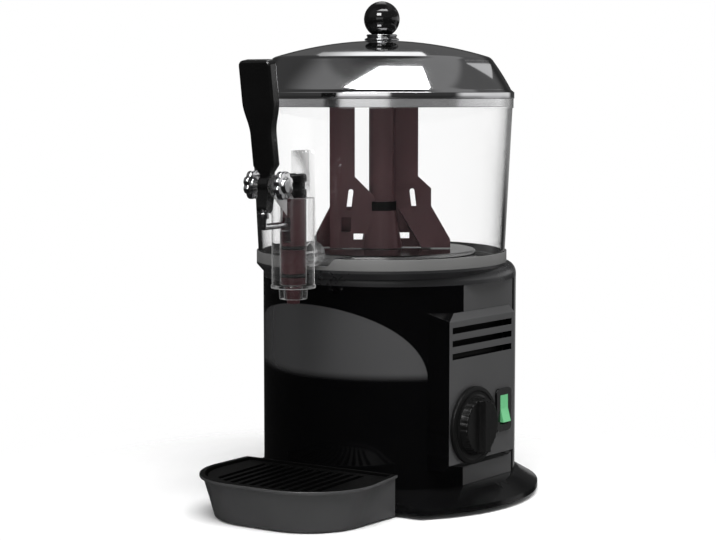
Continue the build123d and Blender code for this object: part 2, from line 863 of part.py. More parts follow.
# Cord gland through the rear cover
with BuildPart() as cord_gland:
    with BuildSketch(radial(90, body_radius + fit_gap, gland_z)):
        RegularPolygon(gland_head, 6)
    extrude(amount=gland_reach / 2)
    with BuildSketch(radial(90, body_radius + fit_gap, gland_z)):
        Circle(gland_head * cos(radians(30)) - 1.0)
    extrude(amount=gland_reach)
    with BuildSketch(radial(90, body_radius + fit_gap, gland_z)):
        Circle(gland_radius)
    extrude(amount=-gland_tail)
    with BuildSketch(radial(90, body_radius - body_wall - 1.5, gland_z)):
        RegularPolygon(gland_head, 6)
    extrude(amount=-gland_tail / 2)
    with BuildSketch(radial(90, body_radius + gland_reach + fit_gap, gland_z)):
        Circle(gland_bore)
    extrude(amount=-gland_reach - gland_tail, mode=Mode.SUBTRACT)

# Screws that hold the rear cover to the base and the deck
with BuildPart() as cover_screws:
    for screw_angle in screw_angles:
        for screw_z in screw_heights:
            with BuildSketch(radial(screw_angle, body_radius, screw_z)):
                Circle(screw_head)
            extrude(amount=screw_head_height, taper=20)
            with BuildSketch(radial(screw_angle, body_radius, screw_z)):
                Circle(screw_shank)
            extrude(amount=-screw_length)

# Clear bowl, open below, with the tap tube, its neck, rib and lever ears moulded on
with BuildPart() as bowl:
    with BuildSketch(section):
        with BuildLine():
            Polyline(
                (0, bowl_low),
                (bowl_foot_radius, bowl_low),
                (bowl_top_radius, bowl_rim_z - rim_height),
                (rim_radius, bowl_rim_z - rim_height),
                (rim_radius, bowl_rim_z),
                (0, bowl_rim_z),
                close=True,
            )
        make_face()
    revolve(axis=bowl_axis)
    with BuildSketch(at(tap_foot_z)):
        with Locations((0, -tap_reach)):
            Circle(tap_radius)
    extrude(amount=tap_full_z - tap_foot_z)
    with BuildSketch(at(bowl_low)):
        with Locations((0, rib_front - tap_reach)):
            Rectangle(tap_rib, tap_reach - rib_front, align=(Align.CENTER, Align.MIN))
    extrude(amount=rib_top_z - bowl_low)
    with BuildSketch(section.offset(tap_reach)):
        with Locations((0, bowl_low + neck_radius)):
            Circle(neck_radius)
    extrude(amount=-tap_reach)
    for ear_plane in (side.offset(ear_inside), side.offset(-ear_inside - ear_thick)):
        with BuildSketch(ear_plane):
            with Locations((-pivot_reach, pivot_z)):
                Circle(ear_radius)
            with BuildLine():
                Polyline(
                    (-pivot_reach, pivot_z + ear_radius),
                    (-tap_reach - tap_bore - ear_set_in, tap_full_z),
                    (-tap_reach - tap_bore - ear_set_in, pivot_z - ear_root),
                    (-pivot_reach - ear_radius * 0.8, pivot_z - ear_radius * 0.6),
                    close=True,
                )
            make_face()
        extrude(amount=ear_thick)
    with BuildSketch(at(tap_full_z)):
        with Locations((0, -tap_reach)):
            Circle(guard_bore)
    extrude(amount=guard_top_z - tap_full_z, mode=Mode.SUBTRACT)
    with BuildSketch(at(tap_foot_z)):
        with Locations((0, -tap_reach)):
            Circle(tap_bore)
    extrude(amount=tap_full_z - tap_foot_z, mode=Mode.SUBTRACT)
    with BuildSketch(at(finger_z - finger_slot_drop)):
        with Locations((0, -tap_reach)):
            Rectangle(2 * finger_slot, tap_radius, align=(Align.CENTER, Align.MAX))
    extrude(amount=finger_slot_drop + finger_slot_rise, mode=Mode.SUBTRACT)
    with BuildSketch(section):
        with BuildLine():
            Polyline(
                (0, bowl_low),
                (bowl_foot_radius - bowl_wall, bowl_low),
                (bowl_top_radius - bowl_wall, bowl_rim_z - rim_height),
                (rim_radius - rim_wall, bowl_rim_z - rim_height),
                (rim_radius - rim_wall, bowl_rim_z),
                (0, bowl_rim_z),
                close=True,
            )
        make_face()
    revolve(axis=bowl_axis, mode=Mode.SUBTRACT)
    with BuildSketch(section.offset(tap_reach)):
        with Locations((0, port_z)):
            Circle(port_radius)
    extrude(amount=-tap_reach, mode=Mode.SUBTRACT)
    with BuildSketch(side):
        with Locations((-pivot_reach, pivot_z)):
            Circle(pivot_radius + run_gap)
    extrude(amount=tap_radius, both=True, mode=Mode.SUBTRACT)

# Nozzle under the tap tube
with BuildPart() as tap_nozzle:
    with BuildSketch(at(tap_foot_z)):
        with Locations((0, -tap_reach)):
            Circle(nozzle_flange)
    extrude(amount=-nozzle_flange_height)
    with BuildSketch(at(tap_foot_z - nozzle_flange_height)):
        with Locations((0, -tap_reach)):
            Circle(nozzle_radius)
    extrude(amount=-nozzle_length, taper=4)
    with BuildSketch(at(tap_foot_z)):
        with Locations((0, -tap_reach)):
            Circle(nozzle_bore)
    extrude(amount=-nozzle_flange_height - nozzle_length, mode=Mode.SUBTRACT)

# Pivot pin through the ears and the lever
thumb_start = ear_inside + ear_thick + slide_gap
with BuildPart() as pivot_pin:
    with BuildSketch(side):
        with Locations((-pivot_reach, pivot_z)):
            Circle(pivot_radius)
    extrude(amount=thumb_start + thumb_hub_length + thumb_rim, both=True)


def thumb_knob(outwards):
    """Fluted thumb knob on one end of the pivot pin."""
    place = Plane((outwards * thumb_start, bowl_y - pivot_reach, pivot_z), x_dir=(0, 0, 1), z_dir=(outwards, 0, 0))
    with BuildPart() as knob:
        with BuildSketch(place):
            Circle(thumb_hub)
        extrude(amount=thumb_hub_length)
        with BuildSketch(place.offset(thumb_hub_length)):
            Circle(thumb_radius)
            with PolarLocations(thumb_radius, thumb_notches):
                Circle(notch_radius, mode=Mode.SUBTRACT)
        extrude(amount=thumb_rim)
        with BuildSketch(place.offset(thumb_hub_length + thumb_rim)):
            Circle(thumb_hub)
        extrude(amount=thumb_cap, taper=15)
        with BuildSketch(place):
            Circle(pivot_radius + run_gap)
        extrude(amount=thumb_hub_length + thumb_rim, mode=Mode.SUBTRACT)
    return knob


pivot_knob_left = thumb_knob(-1)
pivot_knob_right = thumb_knob(1)

# Lever: a paddle that leans forward, a narrow boss between the ears and a short tail
lean = radians(lever_lean)
lever_plane = Plane(
    (0, bowl_y - pivot_reach, pivot_z), x_dir=(1, 0, 0), z_dir=(0, -cos(lean), -sin(lean))
)
with BuildPart() as tap_handle:
    with BuildSketch(lever_plane):
        with BuildLine():
            Line((0, 0), (tail_half, 0))
            Line((tail_half, 0), (tail_half, shoulder_low))
            Line((tail_half, shoulder_low), (lever_neck, shoulder_high))
            Line((lever_neck, shoulder_high), (lever_neck, swell_low))
            Spline((lever_neck, swell_low), (lever_head, swell_high), tangents=((0, 1), (0, 1)))
            Line((lever_head, swell_high), (lever_head, lever_length - lever_corner))
            RadiusArc(
                (lever_head, lever_length - lever_corner), (lever_head - lever_corner, lever_length), -lever_corner
            )
            Line((lever_head - lever_corner, lever_length), (0, lever_length))
            mirror(about=Plane.YZ)
        make_face()
    extrude(amount=lever_thick / 2, both=True)
    front_edges = tap_handle.faces().sort_by(Axis((0, 0, 0), lever_plane.z_dir))
    fillet(front_edges[-1].edges() + front_edges[0].edges(), radius=lever_edge)
    with BuildSketch(side):
        with Locations((-pivot_reach, pivot_z)):
            Circle(ear_radius)
        with Locations((-pivot_reach - tail_forward, pivot_z - tail_drop)):
            Circle(tail_end_radius)
        with BuildLine():
            Polyline(
                (-pivot_reach - 0.9 * ear_radius, pivot_z - 0.4 * ear_radius),
                (-pivot_reach - tail_forward - tail_end_radius, pivot_z - tail_drop),
                (-pivot_reach - tail_forward + tail_end_radius, pivot_z - tail_drop),
                (-pivot_reach + 0.2 * ear_radius, pivot_z - 0.97 * ear_radius),
                close=True,
            )
        make_face()
    extrude(amount=tail_half, both=True)
    with BuildSketch(side):
        with Locations((-pivot_reach, pivot_z)):
            Circle(pivot_radius + run_gap)
    extrude(amount=tail_half, both=True, mode=Mode.SUBTRACT)
    with BuildSketch(at(pivot_z - tail_drop)):
        with Locations((0, -finger_reach)):
            Circle(finger_radius + run_gap)
    extrude(amount=-2 * tail_end_radius, mode=Mode.SUBTRACT)

# Steel finger: an upright leg in the lever's tail, a collar under it and a level leg into the piston's window
with BuildPart() as lever_finger:
    with BuildSketch(section.offset(finger_reach)):
        with Locations((0, finger_z)):
            Circle(finger_radius)
    extrude(amount=finger_tip_reach - finger_reach)
    fillet(lever_finger.edges().group_by(Axis.Y)[-1], radius=finger_radius * 0.6)
    with Locations((0, bowl_y - finger_reach, finger_z)):
        Sphere(finger_radius)
    with BuildSketch(at(finger_z)):
        with Locations((0, -finger_reach)):
            Circle(finger_radius)
    extrude(amount=finger_drop - tail_drop)
    collar_top_z = pivot_z - tail_drop - tail_end_radius - fit_gap
    with BuildSketch(at(collar_top_z)):
        with Locations((0, -finger_reach)):
            Circle(finger_collar)
    extrude(amount=-finger_collar_height)

# Piston with seal grooves and a window for the finger
with BuildPart() as piston:
    with BuildSketch(at(piston_low)):
        with Locations((0, -tap_reach)):
            Circle(piston_radius)
    extrude(amount=piston_top_z - piston_low)
    with BuildSketch(at(piston_low)):
        with Locations((0, -tap_reach)):
            Circle(piston_tip_radius)
    extrude(amount=-piston_tip, taper=6)
    for ring_z in ring_heights:
        with BuildSketch(at(ring_z - ring_section - fit_gap)):
            with Locations((0, -tap_reach)):
                Circle(tap_bore)
                Circle(tap_bore - run_gap - 2 * ring_section - run_gap, mode=Mode.SUBTRACT)
        extrude(amount=2 * (ring_section + fit_gap), mode=Mode.SUBTRACT)
    with BuildSketch(at(finger_z - window_drop)):
        with Locations((0, -tap_reach)):
            Rectangle(2 * window_half, 3 * tap_bore)
    extrude(amount=window_drop + window_rise, mode=Mode.SUBTRACT)

# Sealing rings in the piston's grooves
with BuildPart() as piston_rings:
    for ring_z in ring_heights:
        with Locations((0, bowl_y - tap_reach, ring_z)):
            Torus(tap_bore - run_gap - ring_section, ring_section)

# Dark head on top of the piston, slotted at the back to rise past the rib
with BuildPart() as piston_head:
    with BuildSketch(at(piston_top_z)):
        with Locations((0, -tap_reach)):
            Circle(head_radius)
    extrude(amount=head_height)
    chamfer(piston_head.edges().group_by(Axis.Z)[-1], length=head_grip)
    with BuildSketch(at(piston_top_z + head_height / 3)):
        with Locations((0, -tap_reach)):
            Circle(head_radius)
            Circle(head_radius - head_grip, mode=Mode.SUBTRACT)
    extrude(amount=head_height / 3, mode=Mode.SUBTRACT)
    with BuildSketch(at(piston_top_z)):
        with Locations((0, rib_front - head_slot_gap - tap_reach)):
            Rectangle(tap_rib + 2 * head_slot_gap, 2 * head_radius, align=(Align.CENTER, Align.MIN))
    extrude(amount=head_height, mode=Mode.SUBTRACT)

# Stirrer column: a sleeve over the standpipe, with a square socket for the shaft
with BuildPart() as stirrer_column:
    with BuildSketch(at(hub_high)):
        Circle(column_radius)
    extrude(amount=square_top + column_cap - hub_high)
    fillet(stirrer_column.edges().group_by(Axis.Z)[-1], radius=column_cap)
    with BuildSketch(at(hub_high)):
        Circle(column_bore)
    extrude(amount=pipe_top + 1.0 - hub_high, mode=Mode.SUBTRACT)
    with BuildSketch(at(pipe_top)):
        Rectangle(shaft_square + fit_gap, shaft_square + fit_gap)
    extrude(amount=square_length, mode=Mode.SUBTRACT)

# Stirrer paddles: hub with a collar round the column, and on each side an upright arm, a pierced web and a scraper
with BuildPart() as stirrer_paddles:
    with BuildSketch(at(hub_low)):
        Circle(hub_radius)
    with BuildSketch(at(hub_high)):
        Circle(hub_neck)
    loft()
    with BuildSketch(at(hub_high)):
        Circle(hub_neck)
    extrude(amount=hub_collar)
    for turn, arm_start in ((0, arm_near), (180, arm_far)):
        arm_end = arm_start + arm_width
        web_end = max(arm_end, web_reach)
        with BuildSketch(stir_plane(turn, -arm_offset)):
            with BuildLine():
                Polyline(
                    (0, 0),
                    (web_end, 0),
                    (web_end, web_flare),
                    (arm_end, web_high),
                    (arm_start, web_high),
                    (0, web_root),
                    close=True,
                )
            make_face()
            with Locations((web_slot_reach, web_slot_rise)):
                SlotOverall(web_slot_length, web_slot_width, rotation=90 + web_slot_lean, mode=Mode.SUBTRACT)
            with Locations((web_window_reach, web_window_rise)):
                Rectangle(web_window_width, web_window_height, mode=Mode.SUBTRACT)
            with Locations((web_pocket_reach, web_pocket_rise)):
                Rectangle(web_pocket_width, web_pocket_height, mode=Mode.SUBTRACT)
        extrude(amount=web_thick / 2, both=True)
        with BuildSketch(stir_plane(turn, -arm_offset)):
            with Locations((arm_start, web_flare)):
                Rectangle(arm_width, arm_top_z - hub_low - web_flare, align=(Align.MIN, Align.MIN))
        extrude(amount=arm_thick / 2, both=True)
        scraper_out = scraper_high * sin(radians(scraper_lean)) - arm_offset
        with BuildSketch(stir_plane(turn, scraper_out, scraper_lean)):
            with BuildLine():
                Polyline(
                    (scraper_heel, 0),
                    (scraper_reach, 0),
                    (scraper_reach, scraper_tip),
                    (web_end, scraper_high),
                    (scraper_near, scraper_high),
                    (scraper_near, scraper_high - web_slot_width),
                    close=True,
                )
            make_face()
        extrude(amount=scraper_thick / 2, both=True)
    with BuildSketch(at(hub_high)):
        Circle(column_radius + run_gap)
    extrude(amount=arm_top_z - hub_high, mode=Mode.SUBTRACT)
    with BuildSketch(at(hub_low)):
        Circle(column_bore)
    extrude(amount=hub_height, mode=Mode.SUBTRACT)
    with BuildSketch(at(hub_low)):
        Rectangle(4 * scraper_reach, 4 * scraper_reach)
    extrude(amount=-4 * arm_thick, mode=Mode.SUBTRACT)

# Chrome lid: lip inside the bowl rim, flange, steep cone and shallow dome
with BuildPart() as lid_shell:
    lip_outside = rim_radius - rim_wall - lid_lip_gap
    dome_mid = lid_shoulder_radius / 2
    with BuildSketch(section):
        with BuildLine():
            Polyline(
                (stem_radius + fit_gap, lid_top),
                (stem_radius + fit_gap, lid_low - lid_lip),
                (lip_outside, lid_low - lid_lip),
                (lip_outside, lid_low),
                (lid_flange, lid_low),
                (lid_flange, lid_low + lid_flange_height / 2),
                (lid_cone_foot, lid_low + lid_flange_height),
                (lid_shoulder_radius, lid_shoulder_z),
            )
            ThreePointArc(
                (lid_shoulder_radius, lid_shoulder_z),
                (dome_mid, lid_shoulder_z + 0.75 * lid_dome),
                (stem_radius + fit_gap, lid_top),
            )
        make_face()
    revolve(axis=bowl_axis)
    shoulder_edge = lid_shell.edges().filter_by(GeomType.CIRCLE).sort_by(
        lambda e: abs(e.center().Z - lid_shoulder_z) + abs(e.length / 6.2832 - lid_shoulder_radius)
    )[0]
    fillet(shoulder_edge, radius=2 * lid_wall)
    with BuildSketch(section):
        with BuildLine():
            Polyline(
                (0, lid_top - lid_wall),
                (0, lid_low - lid_lip),
                (lip_outside - lid_wall, lid_low - lid_lip),
                (lip_outside - lid_wall, lid_low + lid_wall),
                (lid_cone_foot - lid_wall, lid_low + lid_wall),
                (lid_cone_foot - lid_wall, lid_low + lid_flange_height),
                (lid_shoulder_radius - lid_wall, lid_shoulder_z - lid_wall),
            )
            ThreePointArc(
                (lid_shoulder_radius - lid_wall, lid_shoulder_z - lid_wall),
                (dome_mid, lid_shoulder_z + 0.75 * lid_dome - lid_wall),
                (0, lid_top - lid_wall),
            )
        make_face()
    revolve(axis=bowl_axis, mode=Mode.SUBTRACT)

# Ball knob with a stem through the lid
with BuildPart() as lid_knob:
    with Locations((0, bowl_y, ball_z)):
        Sphere(ball_radius)
    with BuildSketch(at(lid_top - lid_wall)):
        Circle(stem_radius)
    extrude(amount=ball_z - lid_top)
    with BuildSketch(at(lid_top - lid_wall)):
        Circle(screw_radius + fit_gap)
    extrude(amount=ball_z - lid_top, mode=Mode.SUBTRACT)

# Collar between the ball and the lid
with BuildPart() as knob_collar:
    with BuildSketch(at(lid_top + run_gap)):
        Circle(washer_radius)
    extrude(amount=washer_height)
    fillet(knob_collar.edges().group_by(Axis.Z)[-1], radius=washer_edge)
    with BuildSketch(at(lid_top)):
        Circle(stem_radius + fit_gap)
    extrude(amount=washer_height * 2, mode=Mode.SUBTRACT)
    with Locations((0, bowl_y, ball_z)):
        Sphere(ball_radius + fit_gap, mode=Mode.SUBTRACT)

# Screw that holds the ball knob from inside the lid
with BuildPart() as knob_screw:
    with BuildSketch(at(lid_top - lid_wall - fit_gap)):
        Circle(2 * stem_radius)
    extrude(amount=-washer_edge)
    with BuildSketch(at(lid_top - lid_wall - fit_gap)):
        Circle(screw_radius)
    extrude(amount=ball_z - lid_top)

# Drip tray: tapered pan with a lip and two tabs that slide into the base
with BuildPart() as drip_tray:
    with BuildSketch(at(tray_floor_z)):
        add(tray_outline(tray_floor_z, 0, 0))
    with BuildSketch(at(tray_rim_z)):
        add(tray_outline(tray_rim_z, 0, 0))
    loft(ruled=True)
    with BuildSketch(at(tray_rim_z)):
        add(tray_outline(tray_rim_z, -tray_lip, 0))
    extrude(amount=-tray_lip_height)
    with BuildSketch(at(tray_floor_z + tray_wall)):
        add(tray_outline(tray_floor_z + tray_wall, tray_wall, tray_wall))
    with BuildSketch(at(tray_rim_z + 1.0)):
        add(tray_outline(tray_rim_z + 1.0, tray_wall, tray_wall))
    loft(ruled=True, mode=Mode.SUBTRACT)
    with BuildSketch(at(tab_z)):
        with Locations((-tab_side, -tray_back - tray_gap), (tab_side, -tray_back - tray_gap)):
            Rectangle(tab_width, tab_length, align=(Align.CENTER, Align.MIN))
    extrude(amount=tab_height)

# Slotted grid that drops into the tray
with BuildPart() as drip_grid:
    grid_inset = tray_wall + grid_margin
    with BuildSketch(at(grid_z)):
        add(tray_outline(grid_z, grid_inset, grid_inset))
    extrude(amount=grid_thick)
    with BuildSketch(at(grid_z)):
        with Locations((0, -(tray_back + tray_reach) / 2)):
            with GridLocations(grid_slot + grid_bar, 1, grid_slots, 1):
                Rectangle(grid_slot, tray_reach)
        add(tray_outline(grid_z, grid_inset + grid_border, grid_inset + grid_border), mode=Mode.INTERSECT)
    extrude(amount=grid_thick, mode=Mode.SUBTRACT)

pieces = {
    "base_foot": base_foot,
    "rubber_feet": rubber_feet,
    "front_shell": front_shell,
    "rear_cover": rear_cover,
    "control_panel": control_panel,
    "top_deck": top_deck,
    "hot_plate": hot_plate,
    "bowl_gasket": bowl_gasket,
    "water_tank": water_tank,
    "standpipe": standpipe,
    "heating_element": heating_element,
    "overheat_cutout": overheat_cutout,
    "gearbox": gearbox,
    "gearbox_standoffs": standoffs,
    "motor": motor,
    "shaft_bushes": shaft_bushes,
    "thermostat": thermostat,
    "thermostat_bulb": thermostat_bulb,
    "switch_housing": switch_housing,
    "terminal_block": terminal_block,
    "cord_gland": cord_gland,
    "cover_screws": cover_screws,
    "drive_shaft": drive_shaft,
    "stirrer_column": stirrer_column,
    "stirrer_paddles": stirrer_paddles,
    "bowl": bowl,
    "tap_nozzle": tap_nozzle,
    "pivot_pin": pivot_pin,
    "pivot_knob_left": pivot_knob_left,
    "pivot_knob_right": pivot_knob_right,
    "tap_handle": tap_handle,
    "lever_finger": lever_finger,
    "piston": piston,
    "piston_rings": piston_rings,
    "piston_head": piston_head,
    "lid_shell": lid_shell,
    "lid_knob": lid_knob,
    "knob_collar": knob_collar,
    "knob_screw": knob_screw,
    "drip_tray": drip_tray,
    "drip_grid": drip_grid,
    "thermostat_knob": thermostat_knob,
    "thermostat_shaft": thermostat_shaft,
    "rocker": rocker,
}
for node, piece in pieces.items():
    piece.part.label = node
    export_step(piece.part, f"parts/{node}.step")
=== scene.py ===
import json
import math

import bmesh
import bpy
import numpy as np
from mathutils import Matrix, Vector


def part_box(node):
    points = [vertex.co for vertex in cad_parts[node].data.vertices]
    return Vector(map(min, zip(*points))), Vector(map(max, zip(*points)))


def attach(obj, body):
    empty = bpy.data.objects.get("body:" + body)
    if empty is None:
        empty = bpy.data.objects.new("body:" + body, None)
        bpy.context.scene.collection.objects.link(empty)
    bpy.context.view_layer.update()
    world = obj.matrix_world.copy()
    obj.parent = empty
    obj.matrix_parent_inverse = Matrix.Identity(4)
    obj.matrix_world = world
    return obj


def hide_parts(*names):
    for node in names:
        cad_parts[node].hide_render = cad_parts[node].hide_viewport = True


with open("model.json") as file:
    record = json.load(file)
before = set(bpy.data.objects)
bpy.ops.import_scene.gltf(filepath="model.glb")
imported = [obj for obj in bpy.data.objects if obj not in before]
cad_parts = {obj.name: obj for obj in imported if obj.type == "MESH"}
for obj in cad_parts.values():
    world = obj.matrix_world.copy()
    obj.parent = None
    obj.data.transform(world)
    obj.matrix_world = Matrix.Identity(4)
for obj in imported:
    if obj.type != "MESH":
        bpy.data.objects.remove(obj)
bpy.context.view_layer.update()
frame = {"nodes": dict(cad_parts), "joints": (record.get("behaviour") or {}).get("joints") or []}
scene = bpy.context.scene
scene.view_settings.view_transform = "Standard"
joints = {joint["name"]: joint for joint in frame["joints"]}


# a new object in the scene
def placed(name, data):
    made = bpy.data.objects.new(name, data)
    scene.collection.objects.link(made)
    return made


# lowest and highest corners of a node, in millimetres
def nodeBox(node):
    low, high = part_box(node)
    return np.array(low) * 1000, np.array(high) * 1000


# body shell and top deck, in millimetres: the deck has a rounded shoulder and a ledge that holds the gasket
shell = {"radius": 105.0, "wall": 2.5, "shoulder": 10.0, "step": 0.8, "ledge": 103.0, "ledgeFoot": 98.5,
         "ledgeHigh": 7.0, "ledgeEdge": 2.0}
lidLow, lidHigh = nodeBox("lid_shell")
bodyLow, bodyHigh = nodeBox("rear_cover")
bowlY = (lidLow[1] + lidHigh[1]) / 2  # the bowl's axis, behind the origin
bodyY = bodyHigh[1] - shell["radius"]  # the body's axis
print("stage: frame loaded,", len(frame["nodes"]), "nodes, axes at", round(bowlY, 2), round(bodyY, 2))


# camera: turned right of the machine's front, at the height of the lid's rim; millimetres, degrees and pixels
shot = {"azimuth": 31.0, "distance": 1515.6, "height": 325.6, "aimLeft": 0.735, "pitch": 5.43, "focalPixels": 1840.0,
        "imageWidth": 716.0, "sensor": 36.0}
turn = math.radians(shot["azimuth"])


# a place: towards the camera, to its right, and up
def staged(towards, right, up):
    return (math.sin(turn) * towards + math.cos(turn) * right, -math.cos(turn) * towards + math.sin(turn) * right, up)


lens = bpy.data.cameras.new("shotCamera")
lens.sensor_width = shot["sensor"]
lens.lens = shot["focalPixels"] / shot["imageWidth"] * shot["sensor"]
shotCamera = placed("shotCamera", lens)
shotCamera.location = (np.array(staged(shot["distance"], 0.0, shot["height"])) + (0.0, bowlY, 0.0)) / 1000
shotCamera.rotation_euler = math.radians(90 - shot["pitch"]), 0.0, math.radians(shot["azimuth"] + shot["aimLeft"])
scene.camera = shotCamera
print("stage: camera set")


# closes seams and poles, turns faces outwards where asked, smooths with creases kept; distances in metres
def settle(mesh, crease=35.0, outwards=True, join=2e-6, vanish=1e-7):
    work = bmesh.new()
    work.from_mesh(mesh)
    bmesh.ops.remove_doubles(work, verts=work.verts, dist=join)
    bmesh.ops.dissolve_degenerate(work, dist=vanish, edges=work.edges)
    if outwards:
        bmesh.ops.recalc_face_normals(work, faces=work.faces)
    work.to_mesh(mesh)
    work.free()
    mesh.polygons.foreach_set("use_smooth", np.ones(len(mesh.polygons), bool))
    mesh.set_sharp_from_angle(angle=math.radians(crease))


# one property of all vertices, corners or faces, as an array
def readAll(items, key, width=1, kind=float):
    values = np.empty(len(items) * width, kind)
    items.foreach_get(key, values)
    return values.reshape(-1, width) if width > 1 else values


# shading normals of the true round forms: where a face lies on a cone (radius straight in height) or on a rounded
# edge (a circle carried round the axis), its corners take that form's own normal
def exactNormals(mesh, forms, miss=0.04, pastEnds=0.1, agree=0.9, tiny=1e-6):
    points, facing = readAll(mesh.vertices, "co", 3) * 1000, readAll(mesh.polygons, "normal", 3)
    owner, normals = readAll(mesh.loops, "vertex_index", 1, int), readAll(mesh.corner_normals, "vector", 3)
    starts, totals = readAll(mesh.polygons, "loop_start", 1, int), readAll(mesh.polygons, "loop_total", 1, int)
    for middle, kind, numbers in forms:
        across = points[:, :2] - np.array(middle)
        radius, height = np.maximum(np.linalg.norm(across, axis=1), tiny), points[:, 2]
        if kind == "cone":
            lowR, lowZ, highR, highZ = numbers
            slope = (highR - lowR) / (highZ - lowZ)
            off = np.abs(radius - lowR - slope * (height - lowZ))
            off = np.where((height > lowZ - pastEnds) & (height < highZ + pastEnds), off, np.inf)
            outR, outZ = np.full(len(radius), 1.0), np.full(len(radius), -slope)
        else:
            ringR, ringZ, bend = numbers
            outR, outZ = radius - ringR, height - ringZ
            off = np.abs(np.hypot(outR, outZ) - bend)
        length = np.maximum(np.hypot(outR, outZ), tiny)
        true = np.column_stack([across * (outR / length / radius)[:, None], outZ / length])
        worst = np.maximum.reduceat(off[owner], starts)
        along = (np.add.reduceat(true[owner], starts, axis=0) / totals[:, None] * facing).sum(1)
        pick = np.repeat((worst < miss) & (np.abs(along) > agree), totals)
        normals[pick] = (true[owner] * np.sign(np.repeat(along, totals))[:, None])[pick]
    mesh.normals_split_custom_set(normals.tolist())


# links a mesh as a piece with its finish, hangs it under its body and hides the nodes it stands for; the slot is not
# used
def addPiece(name, mesh, body, slot, finish, *nodes):
    mesh.materials.clear()
    mesh.materials.append(finishes[finish])
    piece = placed(name, mesh)
    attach(piece, body)
    if nodes:
        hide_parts(*nodes)
    return piece


# a grid of points in millimetres, rows by columns, joined into quads; either way may close on itself
def gridMesh(name, grid, closeRows=False, closeCols=True, crease=35.0, weld=True):
    rows, cols = grid.shape[:2]
    index = np.arange(rows * cols).reshape(rows, cols)
    low = index if closeRows else index[:-1]
    high = np.roll(index, -1, 0) if closeRows else index[1:]
    if closeCols:
        lowNext, highNext = np.roll(low, -1, 1), np.roll(high, -1, 1)
    else:
        low, lowNext, high, highNext = low[:, :-1], low[:, 1:], high[:, :-1], high[:, 1:]
    faces = np.stack([low, lowNext, highNext, high], -1).reshape(-1, 4).tolist()
    mesh = bpy.data.meshes.new(name)
    mesh.from_pydata((grid.reshape(-1, 3) / 1000).tolist(), [], faces)
    if weld:
        settle(mesh, crease)
    return mesh


# corners of a path, each with its rounding: an arc that touches both runs, at the rounding over the tangent of half
# the corner, and never as far as half a run
def roundedPath(corners, steps=6, closed=True, mostOfRun=0.49):
    corners = np.array(corners, float)
    points, rounding, count = corners[:, :2], corners[:, 2], len(corners)
    share = np.linspace(0, 1, steps + 1)[:, None]
    out = []
    for i, here in enumerate(points):
        if rounding[i] <= 0 or (not closed and i in (0, count - 1)):
            out.append(here[None])
            continue
        back, ahead = points[i - 1] - here, points[(i + 1) % count] - here
        backLen, aheadLen = np.linalg.norm(back), np.linalg.norm(ahead)
        back, ahead = back / backLen, ahead / aheadLen
        half = math.acos(np.clip(back @ ahead, -1, 1)) / 2
        reach = min(rounding[i] / math.tan(half), mostOfRun * backLen, mostOfRun * aheadLen)
        middle = here + (back + ahead) / np.linalg.norm(back + ahead) * reach / math.cos(half)
        fan = (1 - share) * (here + back * reach - middle) + share * (here + ahead * reach - middle)
        fan = fan / np.linalg.norm(fan, axis=1, keepdims=True) * reach * math.tan(half)
        out.append(middle + fan)
    return np.concatenate(out)


# a profile of radius and height carried round an axis: centre + radius (cos, sin) + height along the axis
def lathe(name, profile, centre, axis=(0, 0, 1), across=(1, 0, 0), turns=180, closed=True, crease=35.0, shaped=None):
    profile = np.array(profile, float)
    axis, across = np.array(axis, float), np.array(across, float)
    side = np.cross(axis, across)
    angle = np.linspace(0, 2 * math.pi, turns, endpoint=False)
    radius = np.repeat(profile[:, :1], turns, 1)
    if shaped is not None:
        radius = shaped(radius, angle[None])
    spokes = np.cos(angle)[:, None] * across + np.sin(angle)[:, None] * side
    grid = np.array(centre, float) + radius[..., None] * spokes + profile[:, None, 1:] * axis
    return gridMesh(name, grid, closeRows=closed, crease=crease)


# rises smoothly from 0 to 1 as the value goes from 0 to 1: three times its square, less twice its cube
def ease(value):
    value = np.clip(value, 0, 1)
    return value * value * (3 - 2 * value)


# eased from 0 where the value is at start to 1 where it is at end; start may be the higher
def climb(value, start, end):
    return ease((value - start) / (end - start))


# hollows spread evenly round an axis: the square of a raised cosine
def hollows(count, angle):
    return (0.5 + 0.5 * np.cos(count * angle)) ** 2


print("stage: mesh tools ready")


# sets a socket: a number, vector or colour on the socket itself, or a link from another socket
def feed(tree, socket, value):
    if isinstance(value, bpy.types.NodeSocket):
        tree.links.new(value, socket)
    else:
        socket.default_value = (*value, 1) if isinstance(value, tuple) else value


# a new node with its settings and inputs; gives its outputs
def addNode(tree, kind, inputs=(), **settings):
    node = tree.nodes.new("ShaderNode" + kind)
    for key, value in settings.items():
        setattr(node, key, value)
    for label, value in dict(inputs).items():
        feed(tree, node.inputs[label], value)
    return node.outputs


# the emptied node tree of a material or world
def bareTree(owner):
    owner.use_nodes = True
    owner.node_tree.nodes.clear()
    return owner.node_tree


# an empty shader group with its sockets: numbers and colours go in beside the vector
def newGroup(name, inputs, *outputs):
    group = bpy.data.node_groups.new(name, "ShaderNodeTree")
    group.interface.new_socket(name="Vector", in_out="INPUT", socket_type="NodeSocketVector")
    for label, value in inputs.items():
        kind = "NodeSocketColor" if isinstance(value, tuple) else "NodeSocketFloat"
        feed(group, group.interface.new_socket(name=label, in_out="INPUT", socket_type=kind), value)
    for label in outputs:
        kind = "NodeSocketColor" if label == "Color" else "NodeSocketFloat"
        group.interface.new_socket(name=label, in_out="OUTPUT", socket_type=kind)
    return group, group.nodes.new("NodeGroupInput").outputs, group.nodes.new("NodeGroupOutput").inputs


# one arithmetic step; each value is a number or a socket
def mathNode(tree, operation, *values):
    return addNode(tree, "Math", enumerate(values), operation=operation)[0]


# a value times itself
def squared(tree, value):
    return mathNode(tree, "MULTIPLY", value, value)


